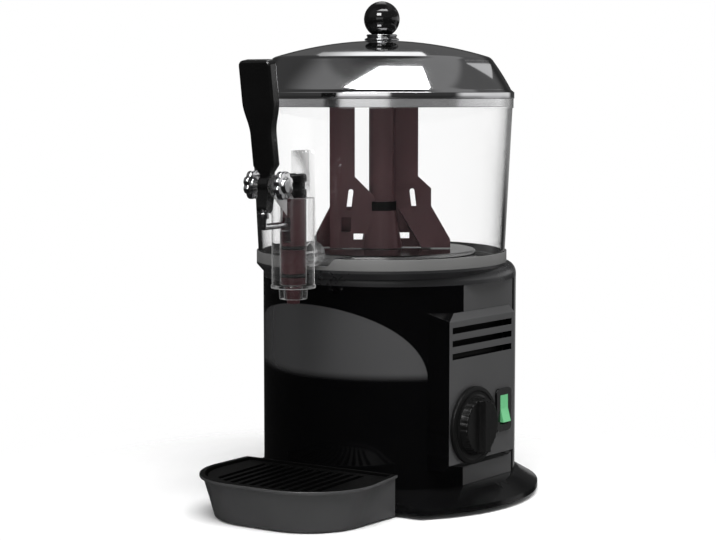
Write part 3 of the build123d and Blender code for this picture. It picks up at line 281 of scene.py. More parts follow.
# two values added, each times its weight
def weighted(tree, first, firstWeight, second, secondWeight):
    return mathNode(tree, "ADD", mathNode(tree, "MULTIPLY", first, firstWeight),
                    mathNode(tree, "MULTIPLY", second, secondWeight))


# a value carried from one range to another, straight or eased
def rangeNode(tree, value, low, high, outLow, outHigh, smooth=False):
    inputs = {"Value": value, "From Min": low, "From Max": high, "To Min": outLow, "To Max": outHigh}
    return addNode(tree, "MapRange", inputs, interpolation_type="SMOOTHSTEP" if smooth else "LINEAR")["Result"]


# noise at a scale in 1/m
def noiseNode(tree, vector, scale, detail, rough):
    return addNode(tree, "TexNoise", {"Vector": vector, "Scale": scale, "Detail": detail, "Roughness": rough})["Fac"]


# first colour where the factor is 0, second where it is 1
def mixColor(tree, factor, first, second):
    return addNode(tree, "Mix", {0: factor, 6: first, 7: second}, data_type="RGBA")[2]


# faint handling marks: large soft patches and a finer film, as a roughness between clean and smeared
handling, given, result = newGroup(
    "handlingFilm", {"Patch Scale": 14.0, "Clean": 0.1, "Smeared": 0.2}, "Roughness")
patch = noiseNode(handling, given["Vector"], given["Patch Scale"], 4.0, 0.6)
fine = noiseNode(handling, given["Vector"], 420.0, 2.0, 0.5)
film = weighted(handling, patch, 0.8, fine, 0.2)
feed(handling, result["Roughness"], rangeNode(handling, film, 0.38, 0.66, given["Clean"], given["Smeared"]))

# moulded plastic: fine pebble height and a slow drift between two tones
moulded, given, result = newGroup(
    "mouldedSkin",
    {"Grain Scale": 1800.0, "Drift Scale": 9.0, "Tone A": (0.02, 0.02, 0.02), "Tone B": (0.03, 0.03, 0.03)},
    "Height", "Color")
feed(moulded, result["Height"], noiseNode(moulded, given["Vector"], given["Grain Scale"], 2.0, 0.5))
drift = noiseNode(moulded, given["Vector"], given["Drift Scale"], 3.0, 0.5)
drift = rangeNode(moulded, drift, 0.35, 0.65, 0.0, 1.0)
feed(moulded, result["Color"], mixColor(moulded, drift, given["Tone A"], given["Tone B"]))

# metal turned on a lathe: fine rings that follow the distance from an upright axis, and the height a little less
turned, given, result = newGroup("turnedLines", {"Ring Scale": 900.0}, "Height")
parts = addNode(turned, "SeparateXYZ", {0: given["Vector"]})
reach = mathNode(turned, "SQRT", mathNode(turned, "ADD", squared(turned, parts["X"]), squared(turned, parts["Y"])))
joined = addNode(turned, "CombineXYZ", {"X": weighted(turned, reach, 1.0, parts["Z"], 0.7)})[0]
feed(turned, result["Height"], noiseNode(turned, joined, given["Ring Scale"], 2.0, 0.6))


# a new material with constants on its shader, and its Object coordinates
def newMaterial(name, sockets):
    made = bpy.data.materials.new(name)
    made.use_nodes = True
    tree = made.node_tree
    shader = tree.nodes["Principled BSDF"].inputs
    for label, value in sockets.items():
        feed(tree, shader[label], value)
    return made, tree, shader, addNode(tree, "TexCoord")["Object"]


# a shared group placed in a material, with its own numbers
def placeGroup(tree, group, vector, **values):
    inputs = {label.replace("_", " "): value for label, value in values.items()}
    return addNode(tree, "Group", {"Vector": vector, **inputs}, node_tree=group)


# moves a pattern's centre to an upright axis this far behind the origin
def centred(tree, place, behind):
    return addNode(tree, "Mapping", {"Vector": place, "Location": [0.0, -behind / 1000, 0.0]})["Vector"]


# a height turned into a shading normal
def bumpFrom(tree, shader, height, strength, distance):
    bump = addNode(tree, "Bump", {"Height": height, "Strength": strength, "Distance": distance})
    feed(tree, shader["Normal"], bump["Normal"])


# what all opaque finishes share: two tones that drift into each other, and clean to smeared roughness
def skinned(name, sockets, toneA, toneB, clean, smeared, **scales):
    made, tree, shader, place = newMaterial(name, sockets)
    skin = placeGroup(tree, moulded, place, Tone_A=toneA, Tone_B=toneB, **scales)
    marks = placeGroup(tree, handling, place, Clean=clean, Smeared=smeared)
    feed(tree, shader["Base Color"], skin["Color"])
    feed(tree, shader["Roughness"], marks["Roughness"])
    return made, tree, shader, place, skin, marks


# moulded plastic: two tones, roughness, and a pebble scale in 1/m with its height in metres
def plastic(name, toneA, toneB, clean, smeared, grain=1800.0, height=0.00002, strength=0.4):
    sockets = {"Metallic": 0.0, "Specular IOR Level": shine.get(name, 0.5), **lit.get(name, {})}
    made, tree, shader, place, skin, marks = skinned(name, sockets, toneA, toneB, clean, smeared, Grain_Scale=grain)
    bumpFrom(tree, shader, skin["Height"], strength, height)
    return made


brushing = {"fade": 0.0004, "rougher": 0.12}  # metres, and what it adds to the roughness


# polished or turned metal: a film of marks over the shine, and fine rings; it may be brushed below a height in metres
def metal(name, toneA, toneB, clean, smeared, rings=900.0, height=0.000004, strength=0.3, brushedBelow=None):
    made, tree, shader, place, skin, marks = skinned(
        name, {"Metallic": 1.0}, toneA, toneB, clean, smeared, Drift_Scale=22.0)
    lines = placeGroup(tree, turned, centred(tree, place, bowlY), Ring_Scale=rings)
    bumpFrom(tree, shader, lines["Height"], strength, height)
    if brushedBelow is not None:
        level = addNode(tree, "SeparateXYZ", {0: place})["Z"]
        brushed = rangeNode(tree, level, brushedBelow - brushing["fade"], brushedBelow, brushing["rougher"], 0.0)
        feed(tree, shader["Roughness"], mathNode(tree, "ADD", marks["Roughness"], brushed))
    return made


# rows: two tones, clean and smeared roughness, and where they differ the grain's or rings' scale, height and strength
shellBlack = (0.0013, 0.0013, 0.0015), (0.0021, 0.0021, 0.0023)
deepBlack = (0.003, 0.003, 0.003), (0.005, 0.005, 0.005)
plastics = {
    "baseGloss": ((0.0022, 0.0022, 0.0024), (0.0036, 0.0036, 0.0038), 0.1, 0.2, 900.0, 0.00001, 0.3),
    "rearGloss": (*shellBlack, 0.08, 0.16, 700.0, 0.000004, 0.3),
    # painted sheen: the panel's grey tone stands in for the sheen of its black plastic, whose sides keep the black
    # gloss
    "panelSheenGrey": ((0.045, 0.045, 0.046), (0.054, 0.054, 0.055), 0.28, 0.4),
    "deckSatin": ((0.020, 0.020, 0.021), (0.026, 0.026, 0.027), 0.26, 0.33, 2400.0, 0.000006, 0.3),
    # partly the tray's own tone and partly painted sheen: the grey of its outer walls stands in for their sheen, while
    # its inside and upward faces take the near-black finish as painted shade
    "trayGreyAndSheen": ((0.047, 0.047, 0.048), (0.057, 0.057, 0.058), 0.3, 0.44),
    # near-black finish: the drip grid's own black, darkened further as painted shade, and laid as painted shade on the
    # tray's inside, the stirrer hub's step and behind the vent slots
    "gridBlackAndShade": ((0.0012, 0.0012, 0.0012), (0.002, 0.002, 0.002), 0.4, 0.55),
    "dialSatin": ((0.004, 0.004, 0.004), (0.007, 0.007, 0.007), 0.3, 0.44),
    "ballGloss": (*deepBlack, 0.05, 0.1, 700.0, 0.000003, 0.2),
    "leverGloss": (*deepBlack, 0.18, 0.3),
    "switchGloss": (*deepBlack, 0.18, 0.28),
    "rockerGreen": ((0.085, 0.33, 0.145), (0.115, 0.39, 0.175), 0.18, 0.28, 900.0, 0.00001, 0.3),
    "rubberMatte": ((0.008, 0.008, 0.008), (0.013, 0.013, 0.013), 0.6, 0.75, 1400.0, 0.00004),
    "gasketGrey": ((0.125, 0.125, 0.123), (0.155, 0.155, 0.152), 0.45, 0.6),
    "stirrerBrown": ((0.084, 0.042, 0.046), (0.104, 0.053, 0.057), 0.28, 0.42),
    "pistonBrown": ((0.050, 0.0205, 0.0235), (0.061, 0.0255, 0.0285), 0.25, 0.4),
    "insulatorCream": ((0.62, 0.58, 0.48), (0.7, 0.66, 0.56), 0.5, 0.65),
    "motorPaint": ((0.05, 0.05, 0.055), (0.065, 0.065, 0.07), 0.4, 0.55),
}
# shine: specular level, where it isn't Blender's own
shine = {"rearGloss": 0.4, "gridBlackAndShade": 0.06, "dialSatin": 0.15, "stirrerBrown": 0.15, "pistonBrown": 0.2}
# painted glow: the green rocker gets a faint emission that brightens it, as painted light
lit = {"rockerGreen": {"Emission Color": (0.14, 0.46, 0.21), "Emission Strength": 0.25}}
metals = {
    "trimChrome": ((0.68, 0.68, 0.69), (0.74, 0.74, 0.75), 0.06, 0.12),
    "collarChrome": ((0.26, 0.26, 0.265), (0.32, 0.32, 0.325), 0.05, 0.1),
    "stainless": ((0.40, 0.40, 0.40), (0.48, 0.48, 0.48), 0.22, 0.34, 1500.0, 0.00001, 0.6),
    "plateSteel": ((0.17, 0.17, 0.17), (0.22, 0.22, 0.22), 0.09, 0.16, 1500.0, 0.000004, 0.4),
    "gearAlloy": ((0.5, 0.5, 0.51), (0.58, 0.58, 0.59), 0.4, 0.55),
    "bushBrass": ((0.62, 0.42, 0.16), (0.7, 0.5, 0.22), 0.25, 0.4),
    "elementSteel": ((0.24, 0.22, 0.21), (0.32, 0.29, 0.26), 0.35, 0.5),
}
finishes = {name: plastic(name, *look) for name, look in plastics.items()}
finishes.update({name: metal(name, *look) for name, look in metals.items()})

# gloss black front with a grey inlay, a little duller than the gloss round it: a half ellipse over the angle round the
# body's axis and the height, whose foot turns up towards its left end by the square of the distance along. The inlay's
# grey carries painted shade and light: darker at its left end, lighter at its right, where the light falls
front = {"middle": -8.0, "halfAngle": 55.5, "foot": 0.1018, "rise": 0.0592, "fade": 0.008, "upturn": 0.0065,
         "edge": (0.985, 1.015), "shadedGreyLeft": (0.040, 0.040, 0.041), "litGreyRight": (0.066, 0.066, 0.067),
         "shadingSpan": (-0.9, 1.0), "clean": 0.06, "smeared": 0.12, "duller": 0.12}  # degrees and metres
grain, grainHeight, grainStrength = plastics["rearGloss"][4:]
finishes["frontGloss"], tree, shader, place, skin, marks = skinned(
    "frontGloss", {"Metallic": 0.0, "Specular IOR Level": shine["rearGloss"]}, *shellBlack, front["clean"],
    front["smeared"], Grain_Scale=grain)
parts = addNode(tree, "SeparateXYZ", {0: centred(tree, place, bodyY)})
bearing = mathNode(tree, "ARCTAN2", parts["X"], mathNode(tree, "MULTIPLY", parts["Y"], -1.0))
along = mathNode(tree, "SUBTRACT", bearing, math.radians(front["middle"]))
along = mathNode(tree, "DIVIDE", along, math.radians(front["halfAngle"]))
upturn = mathNode(tree, "MULTIPLY", squared(tree, mathNode(tree, "MINIMUM", along, 0.0)), front["upturn"])
above = mathNode(tree, "SUBTRACT", parts["Z"], mathNode(tree, "ADD", upturn, front["foot"]))
ring = mathNode(tree, "ADD", squared(tree, along), squared(tree, mathNode(tree, "DIVIDE", above, front["rise"])))
mask = mathNode(tree, "MULTIPLY", rangeNode(tree, ring, *front["edge"], 1.0, 0.0, True),
                rangeNode(tree, above, 0.0, front["fade"], 0.0, 1.0, True))
# painted shade and light: the inlay's grey runs from darker at its left end to lighter at its right
across = rangeNode(tree, along, *front["shadingSpan"], 0.0, 1.0)
grey = mixColor(tree, across, front["shadedGreyLeft"], front["litGreyRight"])
feed(tree, shader["Base Color"], mixColor(tree, mask, skin["Color"], grey))
feed(tree, shader["Roughness"], weighted(tree, marks["Roughness"], 1.0, mask, front["duller"]))
bumpFrom(tree, shader, skin["Height"], grainStrength, grainHeight)

# clear mouldings: sharp transmission, greyer where the wall is seen edge on, with a faint film in the roughness; the
# tap bends light less, and has a clear coat and a pale haze along its edges
clears = {
    "clearBowl": {"index": 1.49, "coat": 0.0, "haze": 0.0, "faceTone": 0.995, "edgeTone": 0.12, "edgeFrom": 0.78},
    "clearTap": {"index": 1.02, "coat": 0.8, "haze": 0.8, "faceTone": 0.9, "edgeTone": 0.25, "edgeFrom": 0.4},
}
for name, look in clears.items():
    finishes[name], tree, shader, place = newMaterial(name, {
        "Metallic": 0.0, "Transmission Weight": 1.0, "IOR": look["index"], "Coat Weight": look["coat"],
        "Coat Roughness": 0.04, "Sheen Weight": look["haze"], "Sheen Roughness": 0.35})
    facing = addNode(tree, "LayerWeight", {"Blend": 0.5})["Facing"]
    edge = rangeNode(tree, facing, look["edgeFrom"], 1.0, 0.0, 1.0, True)
    feed(tree, shader["Base Color"], mixColor(tree, edge, (look["faceTone"],) * 3, (look["edgeTone"],) * 3))
    marks = placeGroup(tree, handling, place, Patch_Scale=9.0, Clean=0.0, Smeared=0.012)
    feed(tree, shader["Roughness"], marks["Roughness"])
print("stage: finishes ready,", len(finishes))


# shown nodes: body, slot, finish and how far their edges are broken, in millimetres
shown = {
    "base_foot": ("base", "base_black", "baseGloss", 0.6),
    "rubber_feet": ("base", "rubber_black", "rubberMatte", 0.0),
    "front_shell": ("base", "shell_black", "frontGloss", 0.0),
    "rear_cover": ("base", "shell_black", "rearGloss", 0.0),
    "control_panel": ("base", "panel_black", "panelSheenGrey", 0.7),
    "top_deck": ("base", "deck_grey", "deckSatin", 0.0),
    "hot_plate": ("base", "stainless", "plateSteel", 0.0),
    "standpipe": ("base", "stainless", "stainless", 0.0),
    "switch_housing": ("base", "switch_black", "switchGloss", 0.12),
    "cord_gland": ("base", "rubber_black", "rubberMatte", 0.4),
    "cover_screws": ("base", "stainless", "stainless", 0.3),
    "stirrer_column": ("stirrer", "stirrer_brown", "stirrerBrown", 0.0),
    "stirrer_paddles": ("stirrer", "stirrer_brown", "stirrerBrown", 0.6),
    "bowl": ("bowl", "clear", "clearBowl", 0.0),
    "tap_nozzle": ("bowl", "clear", "clearTap", 0.4),
    "pivot_pin": ("bowl", "stainless", "stainless", 0.0),
    "tap_handle": ("handle", "lever_black", "leverGloss", 0.3),
    "lever_finger": ("handle", "trim_chrome", "trimChrome", 0.3),
    "piston": ("piston", "piston_brown", "pistonBrown", 0.3),
    "piston_rings": ("piston", "rubber_black", "rubberMatte", 0.0),
    "piston_head": ("piston", "lever_black", "leverGloss", 0.3),
    "drip_tray": ("tray", "tray_black", "trayGreyAndSheen", 0.7),
    "drip_grid": ("grid", "grid_black", "gridBlackAndShade", 0.5),
    "rocker": ("rocker", "rocker_green", "rockerGreen", 0.4),
}
# inner nodes, which the body hides: finish alone
inside = {
    "water_tank": "stainless", "heating_element": "elementSteel", "overheat_cutout": "insulatorCream",
    "gearbox": "gearAlloy", "gearbox_standoffs": "stainless", "motor": "motorPaint", "shaft_bushes": "bushBrass",
    "thermostat": "insulatorCream", "thermostat_bulb": "bushBrass", "terminal_block": "insulatorCream",
    "drive_shaft": "stainless", "thermostat_shaft": "stainless", "knob_screw": "stainless",
}

# bowl and its tap, in millimetres
bowl = {"foot": 101.3, "top": 107.0, "wall": 3.0, "height": 131.0, "rim": 9.0, "rimRadius": 107.8, "rimWall": 4.2,
        "tube": 16.5, "bore": 10.0, "guard": 11.2, "clearOf": 1.2}
bodyAxis, bowlAxis = (0.0, bodyY), (0.0, bowlY)
deckTop = nodeBox("top_deck")[1][2]
bowlLow, bowlHigh = nodeBox("bowl")
nozzleLow, nozzleHigh = nodeBox("tap_nozzle")
tapAxis = (0.0, (nozzleLow[1] + nozzleHigh[1]) / 2)
bowlFoot, rimFoot = bowlHigh[2] - bowl["height"], bowlHigh[2] - bowl["rim"]
edgeZ = deckTop - shell["step"] - shell["shoulder"]
ledgeZ = deckTop - shell["ledgeEdge"]


# a straight tube, as a cone of one radius
def tube(axis, radius, low, high):
    return axis, "cone", (radius, low, radius, high)


# round forms of the nodes, as axis, kind and numbers in millimetres
shellForms = [tube(bodyAxis, r, bodyLow[2], bodyHigh[2]) for r in (shell["radius"], shell["radius"] - shell["wall"])]
roundForms = {
    "front_shell": shellForms,
    "rear_cover": shellForms,
    "top_deck": [
        (bodyAxis, "ring", (shell["radius"] - shell["shoulder"], edgeZ, shell["shoulder"])),
        tube(bodyAxis, shell["radius"], bodyHigh[2], edgeZ),
        (bowlAxis, "cone", (shell["ledgeFoot"], deckTop - shell["ledgeHigh"], shell["ledge"], ledgeZ)),
        tube(bowlAxis, shell["ledge"], ledgeZ, deckTop)],
    "bowl": [
        (bowlAxis, "cone", (bowl["foot"], bowlFoot, bowl["top"], rimFoot)),
        (bowlAxis, "cone", (bowl["foot"] - bowl["wall"], bowlFoot, bowl["top"] - bowl["wall"], rimFoot)),
        tube(bowlAxis, bowl["rimRadius"], rimFoot, bowlHigh[2]),
        tube(bowlAxis, bowl["rimRadius"] - bowl["rimWall"], rimFoot, bowlHigh[2]),
        *[tube(tapAxis, bowl[part], bowlLow[2], bowlHigh[2]) for part in ("tube", "bore", "guard")]],
}
upwards = np.array((0.0, 0.0, 1.0))
panelOut = np.array(joints["dial_turn"]["axis"], float)
alongPanel = np.cross(upwards, panelOut)
facePoint = np.array(joints["dial_turn"]["pos_m"], float) * 1000
panel = {"slopeTop": 156.0, "slopeBack": 90.0, "hip": 13.5, "near": 0.2}
trayLow, trayHigh = nodeBox("drip_tray")
steep = 0.5  # share of a face's normal along a direction, past which the face counts as turned that way


# sides and underside of the raised box: faces that turn away from the panel's own direction, which keep the black
# gloss while the face takes the painted sheen
def panelSides(middles, normals):
    return (np.abs(normals @ panelOut) < steep) | (normals[:, 2] < -steep)


# painted shade: the tray's inside, walls that face its middle, and all that faces up, which take the near-black finish
def trayShadedInside(middles, normals):
    outwards = (normals[:, :2] * (middles[:, :2] - (trayLow[:2] + trayHigh[:2]) / 2)).sum(1)
    return ((outwards < 0) & (np.abs(normals[:, 2]) < steep)) | (normals[:, 2] > steep)


# the tap's moulding on the bowl: all that stands clear of the bowl's cone, whose radius is straight in height
def tapMoulding(middles, normals):
    reach, height = np.hypot(middles[:, 0], middles[:, 1] - bowlY), np.minimum(middles[:, 2], bowlHigh[2])
    wallAt = bowl["foot"] + (bowl["top"] - bowl["foot"]) * (height - bowlFoot) / (rimFoot - bowlFoot)
    return reach > wallAt + bowl["clearOf"]


secondFinish = {"control_panel": ("rearGloss", panelSides), "drip_tray": ("gridBlackAndShade", trayShadedInside),
                "bowl": ("clearTap", tapMoulding)}


# hips the front end of the raised box's sloped top: the corner at the top of the slope moves back along the panel
def hipBox(mesh):
    points = readAll(mesh.vertices, "co", 3) * 1000
    fromFront, fromBody = points @ alongPanel, points @ panelOut
    atTop = points[:, 2] > panel["slopeTop"] - panel["near"]
    atFront = fromFront < fromFront.min() + panel["near"]
    corner = atTop & atFront & (fromBody > panel["slopeBack"])
    points = points + corner[:, None] * panel["hip"] * alongPanel
    mesh.vertices.foreach_set("co", points.ravel() / 1000)
    mesh.update()


# gives some faces of a piece a second finish
def splitFinish(mesh, finish, chosen):
    mesh.materials.append(finishes[finish])
    pick = chosen(readAll(mesh.polygons, "center", 3) * 1000, readAll(mesh.polygons, "normal", 3))
    mesh.polygons.foreach_set("material_index", pick.astype(np.int32))


breaking = {"flatWithin": 0.2, "creaseFrom": 30.0, "breakFrom": 40.0, "segments": 2}  # angles in degrees


# a merged copy of a node's mesh, with its sharp edges broken and its normals evened by face area
def dressNode(node, body, slot, finish, brokenEdge):
    mesh = frame["nodes"][node].data.copy()
    mesh.name = node + "Skin"
    settle(mesh, breaking["creaseFrom"], False)
    if node == "control_panel":
        hipBox(mesh)
    piece = addPiece(node + "Skin", mesh, body, slot, finish, node)
    if brokenEdge:
        work = bmesh.new()
        work.from_mesh(mesh)
        bmesh.ops.dissolve_limit(
            work, angle_limit=math.radians(breaking["flatWithin"]), verts=work.verts, edges=work.edges)
        work.to_mesh(mesh)
        work.free()
    if node in secondFinish:
        splitFinish(mesh, *secondFinish[node])
    if node in roundForms:
        exactNormals(mesh, roundForms[node])
        return
    if brokenEdge:
        bevel = piece.modifiers.new("brokenEdge", "BEVEL")
        bevel.width = brokenEdge / 1000
        bevel.segments = breaking["segments"]
        bevel.limit_method = "ANGLE"
        bevel.angle_limit = math.radians(breaking["breakFrom"])
    piece.modifiers.new("evenNormals", "WEIGHTED_NORMAL").keep_sharp = True


for node, dressing in shown.items():
    dressNode(node, *dressing)
for node, finish in inside.items():
    mesh = frame["nodes"][node].data
    mesh.materials.clear()
    mesh.materials.append(finishes[finish])
print("stage: nodes dressed")


# chrome lid: lip inside the bowl's rim, flange with a short skirt, steep cone that swells by a parabola, rounded
# shoulder and a dome that falls with the square of the radius; brushed below the flange
lid = {"wall": 1.5, "lip": 5.4, "flange": 5.5, "upright": 3.4, "skirt": 0.75, "skirtDrop": 1.7, "bead": 1.0,
       "coneFoot": 2.6, "cone": 26.0, "inset": 18.9, "dome": 14.0, "domeFrom": 0.93, "bend": 13.0, "hole": 0.06,
       "bulge": 0.5, "domeRings": 26, "coneRings": 16}
rim = (lidHigh[0] - lidLow[0]) / 2
shoulderR, shoulderZ = rim - lid["inset"], lidHigh[2] - lid["dome"]
flangeZ = shoulderZ - lid["cone"]
lipTop = flangeZ - lid["flange"]
lipR, skirtR, skirtZ = rim - lid["lip"], rim - lid["skirt"], lipTop - lid["skirtDrop"]
fall = np.linspace(lid["domeFrom"], lid["hole"], lid["domeRings"])[:, None]
dome = np.concatenate([fall * shoulderR, lidHigh[2] - lid["dome"] * fall**2], 1)
outer = roundedPath([
    (lipR - lid["wall"], lidLow[2], 0), (lipR, lidLow[2], 0.5), (lipR, lipTop, 0.6), (skirtR, lipTop, 0.2),
    (skirtR, skirtZ, 0.2), (rim, skirtZ, 0.4), (rim, lipTop + lid["upright"], lid["bead"]),
    (rim - lid["coneFoot"], flangeZ, 1.5), (shoulderR, shoulderZ, lid["bend"]), (*dome[0], 0)], 8, False)
coneEnd = int(np.argmax(np.linalg.norm(np.diff(outer, axis=0), axis=1))) + 1  # the cone is the longest run
coneFoot, coneTop = outer[coneEnd - 1], outer[coneEnd]
coneRun = coneTop - coneFoot
outOfCone = coneRun[::-1] * (1, -1) / np.linalg.norm(coneRun)
upCone = np.linspace(0, 1, lid["coneRings"])[1:-1, None]
cone = coneFoot + upCone * coneRun + 4 * lid["bulge"] * upCone * (1 - upCone) * outOfCone
outer = np.concatenate([outer[:coneEnd], cone, outer[coneEnd:], dome])
innerR = rim - lid["coneFoot"] - lid["wall"]
inner = np.concatenate([
    dome[::-1] - (0, lid["wall"]),
    [(shoulderR - lid["wall"], shoulderZ - lid["wall"]), (innerR, flangeZ), (innerR, lipTop + lid["wall"]),
     (lipR - lid["wall"], lipTop + lid["wall"])]])
finishes["lidChrome"] = metal("lidChrome", (0.66, 0.66, 0.67), (0.72, 0.72, 0.73), 0.04, 0.09,
                              brushedBelow=lipTop / 1000)
addPiece("lidSkin", lathe("lidSkin", np.concatenate([outer, inner]), (0, bowlY, 0), turns=256, crease=40),
         "lid", "lid_chrome", "lidChrome", "lid_shell")

# ball knob: a stem that runs into a round ball, closed at its top
ballLow, ballHigh = nodeBox("lid_knob")
ball = {"radius": (ballHigh[0] - ballLow[0]) / 2, "stem": 5.0, "rings": 60}
ballZ = ballHigh[2] - ball["radius"]
ballLean = np.linspace(math.asin(ball["stem"] / ball["radius"]), math.pi, ball["rings"])[:, None]
ballProfile = np.concatenate([
    [(0.0, ballLow[2]), (ball["stem"], ballLow[2])],
    np.concatenate([ball["radius"] * np.sin(ballLean), ballZ - ball["radius"] * np.cos(ballLean)], 1)])
addPiece("ballKnob", lathe("ballKnob", ballProfile, (0, bowlY, 0), turns=96, closed=False),
         "lid", "dial_black", "ballGloss", "lid_knob")

# gasket: an angle ring, a foot under the bowl and an upstand round it; the upstand's height falls to nothing, eased,
# where the tap's neck crosses, in degrees from the front
gasketLow, gasketHigh = nodeBox("bowl_gasket")
gasket = {"rise": 8.9, "foot": gasketHigh[2] - gasketLow[2], "bore": 96.1, "clear": 102.0, "outside": 103.0,
          "neck": (6.5, 10.5), "turns": 288}
gasketProfile = roundedPath([
    (gasket["bore"], 0, 0), (gasket["outside"], 0, 0.2), (gasket["outside"], gasket["rise"], 0.35),
    (gasket["clear"], gasket["rise"], 0.35), (gasket["clear"], gasket["foot"], 0.1),
    (gasket["bore"], gasket["foot"], 0)], 4)
gasketAngle = np.linspace(0, 2 * math.pi, gasket["turns"], endpoint=False)[None]
fromTap = np.abs(np.degrees(np.arctan2(np.cos(gasketAngle), -np.sin(gasketAngle))))
gasketR, gasketZ = gasketProfile[:, :1], gasketProfile[:, 1:]
standing = np.maximum(gasketZ - gasket["foot"], 0) * climb(fromTap, *gasket["neck"])
gasketGrid = np.stack([gasketR * np.cos(gasketAngle), bowlY + gasketR * np.sin(gasketAngle),
                       gasketLow[2] + np.minimum(gasketZ, gasket["foot"]) + standing], -1)
addPiece("gasketRing", gridMesh("gasketRing", gasketGrid, closeRows=True), "base", "gasket_grey", "gasketGrey",
         "bowl_gasket")

# collar under the ball: a flared foot, a hollow neck and a rolled lip that the ball sits in; heights in shares of it
collarLow, collarHigh = nodeBox("knob_collar")
collar = {"radius": (collarHigh[0] - collarLow[0]) / 2, "bore": 5.4, "foot": 1.3, "neck": 11.6, "lip": 12.4,
          "seat": 8.6, "seatDrop": 0.2, "neckAt": 0.52, "lipAt": 0.72, "boreAt": 0.55}
collarTall = collarHigh[2] - collarLow[2]
collarProfile = roundedPath([
    (collar["bore"], 0, 0), (collar["radius"], 0, 0.4), (collar["radius"], collar["foot"], 0.6),
    (collar["neck"], collarTall * collar["neckAt"], 1.2), (collar["lip"], collarTall * collar["lipAt"], 0.8),
    (collar["lip"], collarTall, 0.9), (collar["seat"], collarTall - collar["seatDrop"], 0.5),
    (collar["bore"], collarTall * collar["boreAt"], 0)])
addPiece("collarSkin", lathe("collarSkin", collarProfile + (0, collarLow[2]), (0, bowlY, 0), turns=128),
         "lid", "trim_chrome", "collarChrome", "knob_collar")

# thumb knobs: a lobed rim between a plain hub and a domed cap, on the pivot's axis
thumb = {"lobes": 8, "depth": 0.13, "hub": 6.4, "hubLength": 1.4, "rim": 4.8, "capRise": 0.3, "capIn": 0.8,
         "lobesFrom": 0.6, "lobesFull": 3.6}


# the radius shrinks in each lobe's hollow, and only near the rim
def lobed(radius, angle):
    weight = climb(radius, thumb["hub"] + thumb["lobesFrom"], thumb["hub"] + thumb["lobesFull"])
    return radius * (1 - thumb["depth"] * weight * hollows(thumb["lobes"], angle))


for node, way in (("pivot_knob_left", -1.0), ("pivot_knob_right", 1.0)):
    low, high = nodeBox(node)
    middle, length, radius = (low + high) / 2, high[0] - low[0], (high[2] - low[2]) / 2
    start = high[0] if way < 0 else low[0]
    rimEnd = thumb["hubLength"] + thumb["rim"]
    profile = roundedPath([
        (0, 0, 0), (thumb["hub"], 0, 0.4), (thumb["hub"], thumb["hubLength"], 0.3),
        (radius, thumb["hubLength"], 1.5), (radius, rimEnd, 1.5), (thumb["hub"], rimEnd + thumb["capRise"], 0.5),
        (thumb["hub"] - thumb["capIn"], length, 1.6), (0, length, 0)], closed=False)
    mesh = lathe(node + "Skin", profile, (start, middle[1], middle[2]), (way, 0, 0), (0, 0, 1), 160, False, 50, lobed)
    addPiece(node + "Skin", mesh, "bowl", "trim_chrome", "trimChrome", node)

# painted shade: a near-black ring in the step between the stirrer's hub and its column, where the step lies in shade
hubShadeRing = {"above": 30.6, "height": 7.6, "inner": 11.2, "outer": 12.05}
ringLow = nodeBox("stirrer_paddles")[0][2] + hubShadeRing["above"]
ringHigh = ringLow + hubShadeRing["height"]
ringProfile = roundedPath([(hubShadeRing["inner"], ringLow, 0), (hubShadeRing["outer"], ringLow, 0.3),
                           (hubShadeRing["outer"], ringHigh, 0.3), (hubShadeRing["inner"], ringHigh, 0)], 4)
addPiece("hubShadeRing", lathe("hubShadeRing", ringProfile, (0, bowlY, 0), turns=96),
         "stirrer", "rubber_black", "gridBlackAndShade")

# painted shade: a near-black sheet behind the vent slots, so that they read dark where the body's inside is in shade;
# a shallow pressed tray whose depth eases off towards its edges
shadeSheet = {"behind": 8.0, "dish": 1.5, "front": -57.0, "back": 24.0, "low": 118.0, "high": 151.0, "wall": 0.8,
          "endShare": 1 / 12, "edgeShare": 1 / 5, "columns": 41, "rows": 17}
alongShare, upShare = np.meshgrid(*[np.linspace(0, 1, shadeSheet[way]) for way in ("columns", "rows")])
dish = (shadeSheet["dish"] * climb(np.minimum(alongShare, 1 - alongShare), 0, shadeSheet["endShare"])
        * climb(np.minimum(upShare, 1 - upShare), 0, shadeSheet["edgeShare"]))
shadeSheetAlong = shadeSheet["front"] + (shadeSheet["back"] - shadeSheet["front"]) * alongShare + bodyY * alongPanel[1]
shadeSheetUp = shadeSheet["low"] + (shadeSheet["high"] - shadeSheet["low"]) * upShare
panelMiddle = (facePoint - alongPanel * (facePoint @ alongPanel)) * (1, 1, 0)
shadeSheetGrid = (panelMiddle + shadeSheetAlong[..., None] * alongPanel + shadeSheetUp[..., None] * upwards
              - (shadeSheet["behind"] + dish)[..., None] * panelOut)
ventShadeSheet = addPiece("ventShadeSheet", gridMesh("ventShadeSheet", shadeSheetGrid, closeCols=False), "base", "rubber_black",
                      "gridBlackAndShade")
ventShadeSheet.modifiers.new("plate", "SOLIDIFY").thickness = shadeSheet["wall"] / 1000

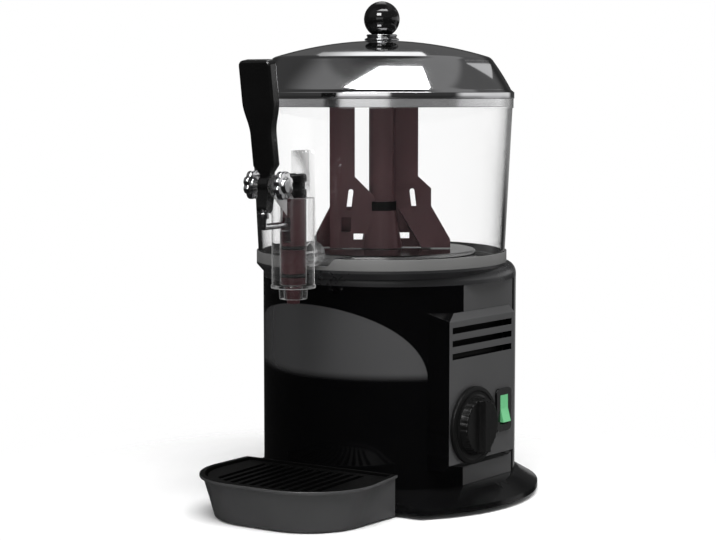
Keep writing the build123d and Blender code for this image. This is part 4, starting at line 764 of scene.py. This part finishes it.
# thermostat knob: stepped skirt with a groove, fluted grip and a raised ridge across its face
dial = {"radius": 31.0, "skirt": 3.5, "skirtEdge": 0.4, "step": 27.5, "grooveOut": 26.8, "grooveIn": 24.6,
        "grooveDeep": 0.5, "grip": 23.0, "gripHeight": 6.5, "clear": 0.3, "ridge": 5.0, "ridgeHalf": 4.5,
        "ridgeSoft": 0.7, "flutes": 28, "fluteDepth": 0.035, "fluteFoot": (0.4, 1.2), "fluteIn": 1.5,
        "ridgeEnds": (1.2, 2.6), "ridgeFoot": (1.2, 0.2), "gripFoot": 0.2, "draft": 0.8, "faceIn": 3.0, "faceGap": 0.2,
        "turns": 224, "faceRings": 44}
dialPlace = facePoint + panelOut * dial["clear"]
grip, skirt = dial["grip"], dial["skirt"]
gripTop, grooveZ = skirt + dial["gripHeight"], skirt - dial["grooveDeep"]
faceR = np.linspace(grip - dial["faceIn"] - dial["faceGap"], 0, dial["faceRings"])
dialProfile = np.concatenate([
    roundedPath([
        (0, 0, 0), (dial["radius"], 0, 0.5), (dial["radius"], skirt - dial["skirtEdge"], 0.9),
        (dial["step"], skirt, 0.4), (dial["grooveOut"], grooveZ, 0.4), (dial["grooveIn"], grooveZ, 0.4),
        (grip, skirt + dial["gripFoot"], 0.6), (grip - dial["draft"], gripTop, 1.2),
        (grip - dial["faceIn"], gripTop, 0)], closed=False),
    np.stack([faceR, np.full_like(faceR, gripTop)], 1)])
dialAngle = np.linspace(0, 2 * math.pi, dial["turns"], endpoint=False)[None]
dialR, dialZ = [np.repeat(dialProfile[:, i:i + 1], dial["turns"], 1) for i in (0, 1)]
fluted = climb(dialZ - skirt, *dial["fluteFoot"]) * climb(dialR, grip - dial["faceIn"], grip - dial["fluteIn"])
dialR = dialR * (1 - dial["fluteDepth"] * fluted * hollows(dial["flutes"], dialAngle))
sideways, lengthways = dialR * np.cos(dialAngle), dialR * np.sin(dialAngle)
ridge = (climb(np.abs(sideways), dial["ridgeHalf"] + dial["ridgeSoft"], dial["ridgeHalf"] - dial["ridgeSoft"])
         * climb(grip - np.abs(lengthways), *dial["ridgeEnds"]) * climb(gripTop - dialZ, *dial["ridgeFoot"]))
dialZ = dialZ + dial["ridge"] * ridge
dialGrid = (dialPlace + sideways[..., None] * alongPanel + lengthways[..., None] * upwards
            + dialZ[..., None] * panelOut)
addPiece("dialSkin", gridMesh("dialSkin", dialGrid), "dial", "dial_black", "dialSatin", "thermostat_knob")
print("stage: turned pieces made")


# world: white where it is seen, a touch brighter through the clear bowl; where it is mirrored, grey by the bearing in
# degrees from the camera's side, with a pale window and side wall, dim behind and below; a soft fill elsewhere
sky = {"fill": 0.55, "throughBowl": 1.1, "mirrored": 0.34, "mirrorGain": 1.45, "windowTone": 1.2, "windowSide": -15.0,
       "windowFade": (19.0, 25.0), "sideWallTone": 0.75, "sideWall": (62.0, 76.0), "horizon": (-0.09, -0.04),
       "belowShare": 0.1, "rear": (125.0, 150.0), "rearShare": 0.3}
scene.world = bpy.data.worlds.new("studioWorld")
tree = bareTree(scene.world)
rays = addNode(tree, "LightPath")
seen = mathNode(tree, "MAXIMUM", rays["Is Camera Ray"], rays["Is Glossy Ray"])
seen = mathNode(tree, "MAXIMUM", seen, rays["Is Transmission Ray"])
mirrored = mathNode(tree, "GREATER_THAN", rays["Glossy Depth"], 0.5)
heading = addNode(tree, "SeparateXYZ", {0: addNode(tree, "TexCoord")["Generated"]})
ahead = weighted(tree, heading["X"], math.sin(turn), heading["Y"], -math.cos(turn))
aside = weighted(tree, heading["X"], math.cos(turn), heading["Y"], math.sin(turn))
bearing = mathNode(tree, "DEGREES", mathNode(tree, "ARCTAN2", aside, ahead))
fromWindow = mathNode(tree, "ABSOLUTE", mathNode(tree, "SUBTRACT", bearing, sky["windowSide"]))
window = rangeNode(tree, fromWindow, *sky["windowFade"], sky["windowTone"], 0.0, True)
sideWall = rangeNode(tree, bearing, *sky["sideWall"], 0.0, sky["sideWallTone"], True)
above = rangeNode(tree, heading["Z"], *sky["horizon"], sky["belowShare"], 1.0, True)
inFront = rangeNode(tree, mathNode(tree, "ABSOLUTE", bearing), *sky["rear"], 1.0, sky["rearShare"], True)
wallTone = mathNode(tree, "MAXIMUM", sky["mirrored"], mathNode(tree, "MAXIMUM", window, sideWall))
for share in (above, inFront, sky["mirrorGain"]):
    wallTone = mathNode(tree, "MULTIPLY", wallTone, share)
white = rangeNode(tree, rays["Is Transmission Ray"], 0.0, 1.0, 1.0, sky["throughBowl"])
bright = weighted(tree, wallTone, mirrored, white, mathNode(tree, "SUBTRACT", 1.0, mirrored))
strength = rangeNode(tree, seen, 0.0, 1.0, sky["fill"], bright)
back = addNode(tree, "Background", {"Color": (1, 1, 1), "Strength": strength})[0]
addNode(tree, "OutputWorld", {"Surface": back})

# floor: a pale disc in millimetres that fades out round the machine into the white behind it, fade in metres
disc = {"radius": 1600.0, "rings": 6, "turns": 96, "drop": 0.2, "tone": 0.9, "fade": (0.13, 0.38)}
floorAngle = np.linspace(0, 2 * math.pi, disc["turns"], endpoint=False)
floorReach = np.linspace(0, disc["radius"], disc["rings"])[:, None]
floorX, floorY = floorReach * np.cos(floorAngle), floorReach * np.sin(floorAngle)
floorGrid = np.stack([floorX, floorY, np.full_like(floorX, -disc["drop"])], -1)
floor = placed("floor", gridMesh("floor", floorGrid))
floorPaint = bpy.data.materials.new("floorPaint")
tree = bareTree(floorPaint)
reach = addNode(tree, "VectorMath", {0: addNode(tree, "TexCoord")["Object"]}, operation="LENGTH")["Value"]
fade = rangeNode(tree, reach, *disc["fade"], 0.0, 1.0, True)
paint = addNode(tree, "BsdfDiffuse", {"Color": (disc["tone"],) * 3})[0]
blend = addNode(tree, "MixShader", {0: fade, 1: paint, 2: addNode(tree, "BsdfTransparent")[0]})[0]
addNode(tree, "OutputMaterial", {"Surface": blend})
floor.data.materials.append(floorPaint)
floor.visible_glossy = False


# a backdrop that only the shine sees, with its own brightness at each point
def shineOnly(name, mesh, glow):
    tone = mesh.attributes.new("glow", "FLOAT", "POINT")
    tone.data.foreach_set("value", np.asarray(glow, float).ravel())
    paint = bpy.data.materials.new(name + "Paint")
    tree = bareTree(paint)
    reading = addNode(tree, "Attribute", attribute_name="glow")["Fac"]
    light = addNode(tree, "Emission", {"Strength": reading})[0]
    addNode(tree, "OutputMaterial", {"Surface": light})
    mesh.materials.append(paint)
    made = placed(name, mesh)
    made.visible_camera = False
    made.visible_diffuse = False
    made.visible_transmission = False
    made.visible_shadow = False


# studio walls on a ball round the lid, in degrees to the camera's right and up: dark below the horizon and overhead,
# grey between, a pale window ahead and a pale wall at the right. Each row is a tone and the bearings over which it
# climbs, from where it sets in to where it is full
walls = {
    "leftFoot": (0.05,), "left": (0.15, ("right", -115, -75)), "leftTop": (0.7, ("up", 53, 59)),
    "rightFoot": (0.105,), "rightTop": (0.135, ("up", 41, 45.5)),
    "edge": (0.03, ("away", 136, 150), ("up", 26, 16)),
    "back": (0.105, ("away", 164, 172)),
    "overhead": (0.03, ("up", 60, 74)),
    "low": (0.05, ("up", 14, 8)),
    "window": (sky["windowTone"], ("fromWindow", 24, 19)),
    "flange": (0.85, ("right", 62, 74), ("right", 150, 138)),
    "ground": (0.012, ("up", 0, -3)),
    "behind": (0.3, ("right", 150, 164), ("up", -40, -20)),
    "strip": (0.3, ("right", 92, 100), ("right", 128, 120), ("up", -34, -22)),
}
wallSize = {"radius": 3000.0, "belowLidTop": 25.0, "blend": 0.75}
right, up = np.meshgrid(np.linspace(-180, 180, 361), np.linspace(-89.5, 89.5, 180))
bearings = {"right": right, "up": up, "away": np.abs(right), "fromWindow": np.abs(right - sky["windowSide"])}


# how far a row reaches over the walls: the product of its climbs
def wallShare(row):
    share = np.ones_like(right)
    for bearing, start, end in walls[row][1:]:
        share = share * climb(bearings[bearing], start, end)
    return share


# a row's tone times its share
def wallGlow(row):
    return walls[row][0] * wallShare(row)


# one tone laid over another by a row's share
def laidOver(under, row, tone):
    return under + (tone - under) * wallShare(row)


leftShare = ease(0.5 - wallSize["blend"] * np.sin(np.radians(right)))
leftTone = wallGlow("leftFoot") + wallGlow("left") * (1 - wallGlow("leftTop"))
wallTone = leftShare * leftTone + (1 - leftShare) * (wallGlow("rightFoot") + wallGlow("rightTop"))
for row in ("edge", "back", "overhead"):
    wallTone = laidOver(wallTone, row, walls[row][0])
wallTone = laidOver(wallTone, "low", np.maximum(walls["low"][0], np.maximum(wallGlow("window"), wallGlow("flange"))))
wallTone = laidOver(wallTone, "ground", walls["ground"][0] + wallGlow("behind") + wallGlow("strip"))
sideAngle, upAngle, level = np.radians(right), np.radians(up), np.cos(np.radians(up))
wallAim = np.stack(staged(level * np.cos(sideAngle), level * np.sin(sideAngle), np.sin(upAngle)), -1)
wallGrid = np.array((0.0, bowlY, lidHigh[2] - wallSize["belowLidTop"])) + wallSize["radius"] * wallAim
shineOnly("studioWalls", gridMesh("studioWalls", wallGrid, closeCols=False, weld=False), wallTone)


# a light card hung where a patch of the round lid or ball mirrors it to the camera: the view line less twice its share
# along the patch's normal. The patch runs from low to high on its form, between two sides at each end, in degrees to
# the camera's right; the card's glow climbs from its left side to its middle
def shineCard(name, form, lows, highs, glow, gain, rows=17, columns=33, distance=2600.0):
    across, share = np.meshgrid(np.linspace(0, 1, columns), np.linspace(0, 1, rows))
    run, leftSide, rightSide = [low + (high - low) * share for low, high in zip(lows, highs)]
    radius, height, lean = form(run)
    side = np.radians(leftSide + (rightSide - leftSide) * across)
    out = np.stack(staged(np.cos(side), np.sin(side), 0 * side), -1)
    spot = radius[..., None] * out + np.array((0, bowlY, 0)) + height[..., None] * upwards
    normal = np.sin(lean)[..., None] * out + np.cos(lean)[..., None] * upwards
    view = spot - np.array(shotCamera.location) * 1000
    view = view / np.linalg.norm(view, axis=-1, keepdims=True)
    aim = view - 2 * (view * normal).sum(-1, keepdims=True) * normal
    mesh = gridMesh(name, spot + distance * aim, closeCols=False, weld=False)
    shineOnly(name, mesh, glow + gain * climb(across, 0, 0.5))


# dome, by its lean in degrees: radius, height and lean; its slope grows straight with the radius
def onDome(lean, outermost=0.97):
    lean = np.radians(lean)
    share = np.minimum(np.tan(lean) * shoulderR / (2 * lid["dome"]), outermost)
    return share * shoulderR, lidHigh[2] - lid["dome"] * share**2, lean


# cone, by the share of its height: the straight run with its bulge, whose slope turns the normal
def onCone(share):
    swell = 4 * lid["bulge"] * share * (1 - share)
    swellSlope = 4 * lid["bulge"] * (1 - 2 * share) / np.linalg.norm(coneRun)
    radius, height = [coneFoot[i] + share * coneRun[i] + swell * outOfCone[i] for i in (0, 1)]
    return radius, height, math.atan2(*outOfCone) + np.arctan(swellSlope)


# ball, by its lean in degrees: radius times the sine, and the cosine above its middle
def onBall(lean):
    lean = np.radians(lean)
    return ball["radius"] * np.sin(lean), ballZ + ball["radius"] * np.cos(lean), lean


cards = {
    "shoulderStrip": (onDome, (34.0, -33, 23), (15.4, -36, 23), 0.45, 0.8),
    "keyCard": (onCone, (0.0, -17, 20.8), (0.72, -1.0, 19.0), 10.0, 0.0),
    "lidPatch": (onCone, (0.37, 60, 60.6), (0.885, 45, 69), 0.6, 0.0),
    "ballFront": (onBall, (80.0, -16, -2), (72.0, -16, -2), 22.0, 0.0),
}
for name, card in cards.items():
    shineCard(name, *card)


# soft rectangular lamps turned towards their targets, in metres and watts; neither shine nor the clear bowl shows them
lamps = {
    "keyBox": {"spot": staged(0.882, 0.166, 1.84), "target": staged(0.069, -0.076, 0.309), "size": (1.87, 0.73),
               "power": 46.0},
    "sideBox": {"spot": staged(-1.2, 1.6, 0.7), "target": (0, 0, 0.15), "size": (0.8, 1.2), "power": 9.0},
}
for name, look in lamps.items():
    lamp = bpy.data.lights.new(name, "AREA")
    lamp.shape = "RECTANGLE"
    lamp.size, lamp.size_y = look["size"]
    lamp.energy = look["power"]
    box = placed(name, lamp)
    box.location = look["spot"]
    aim = np.array(look["target"]) - np.array(look["spot"])
    flat = math.hypot(aim[0], aim[1])
    box.rotation_euler = (math.atan2(flat, -aim[2]), 0.0, math.atan2(aim[1], aim[0]) - math.pi / 2)
    box.visible_glossy = False
    box.visible_transmission = False
print("stage: studio lit")
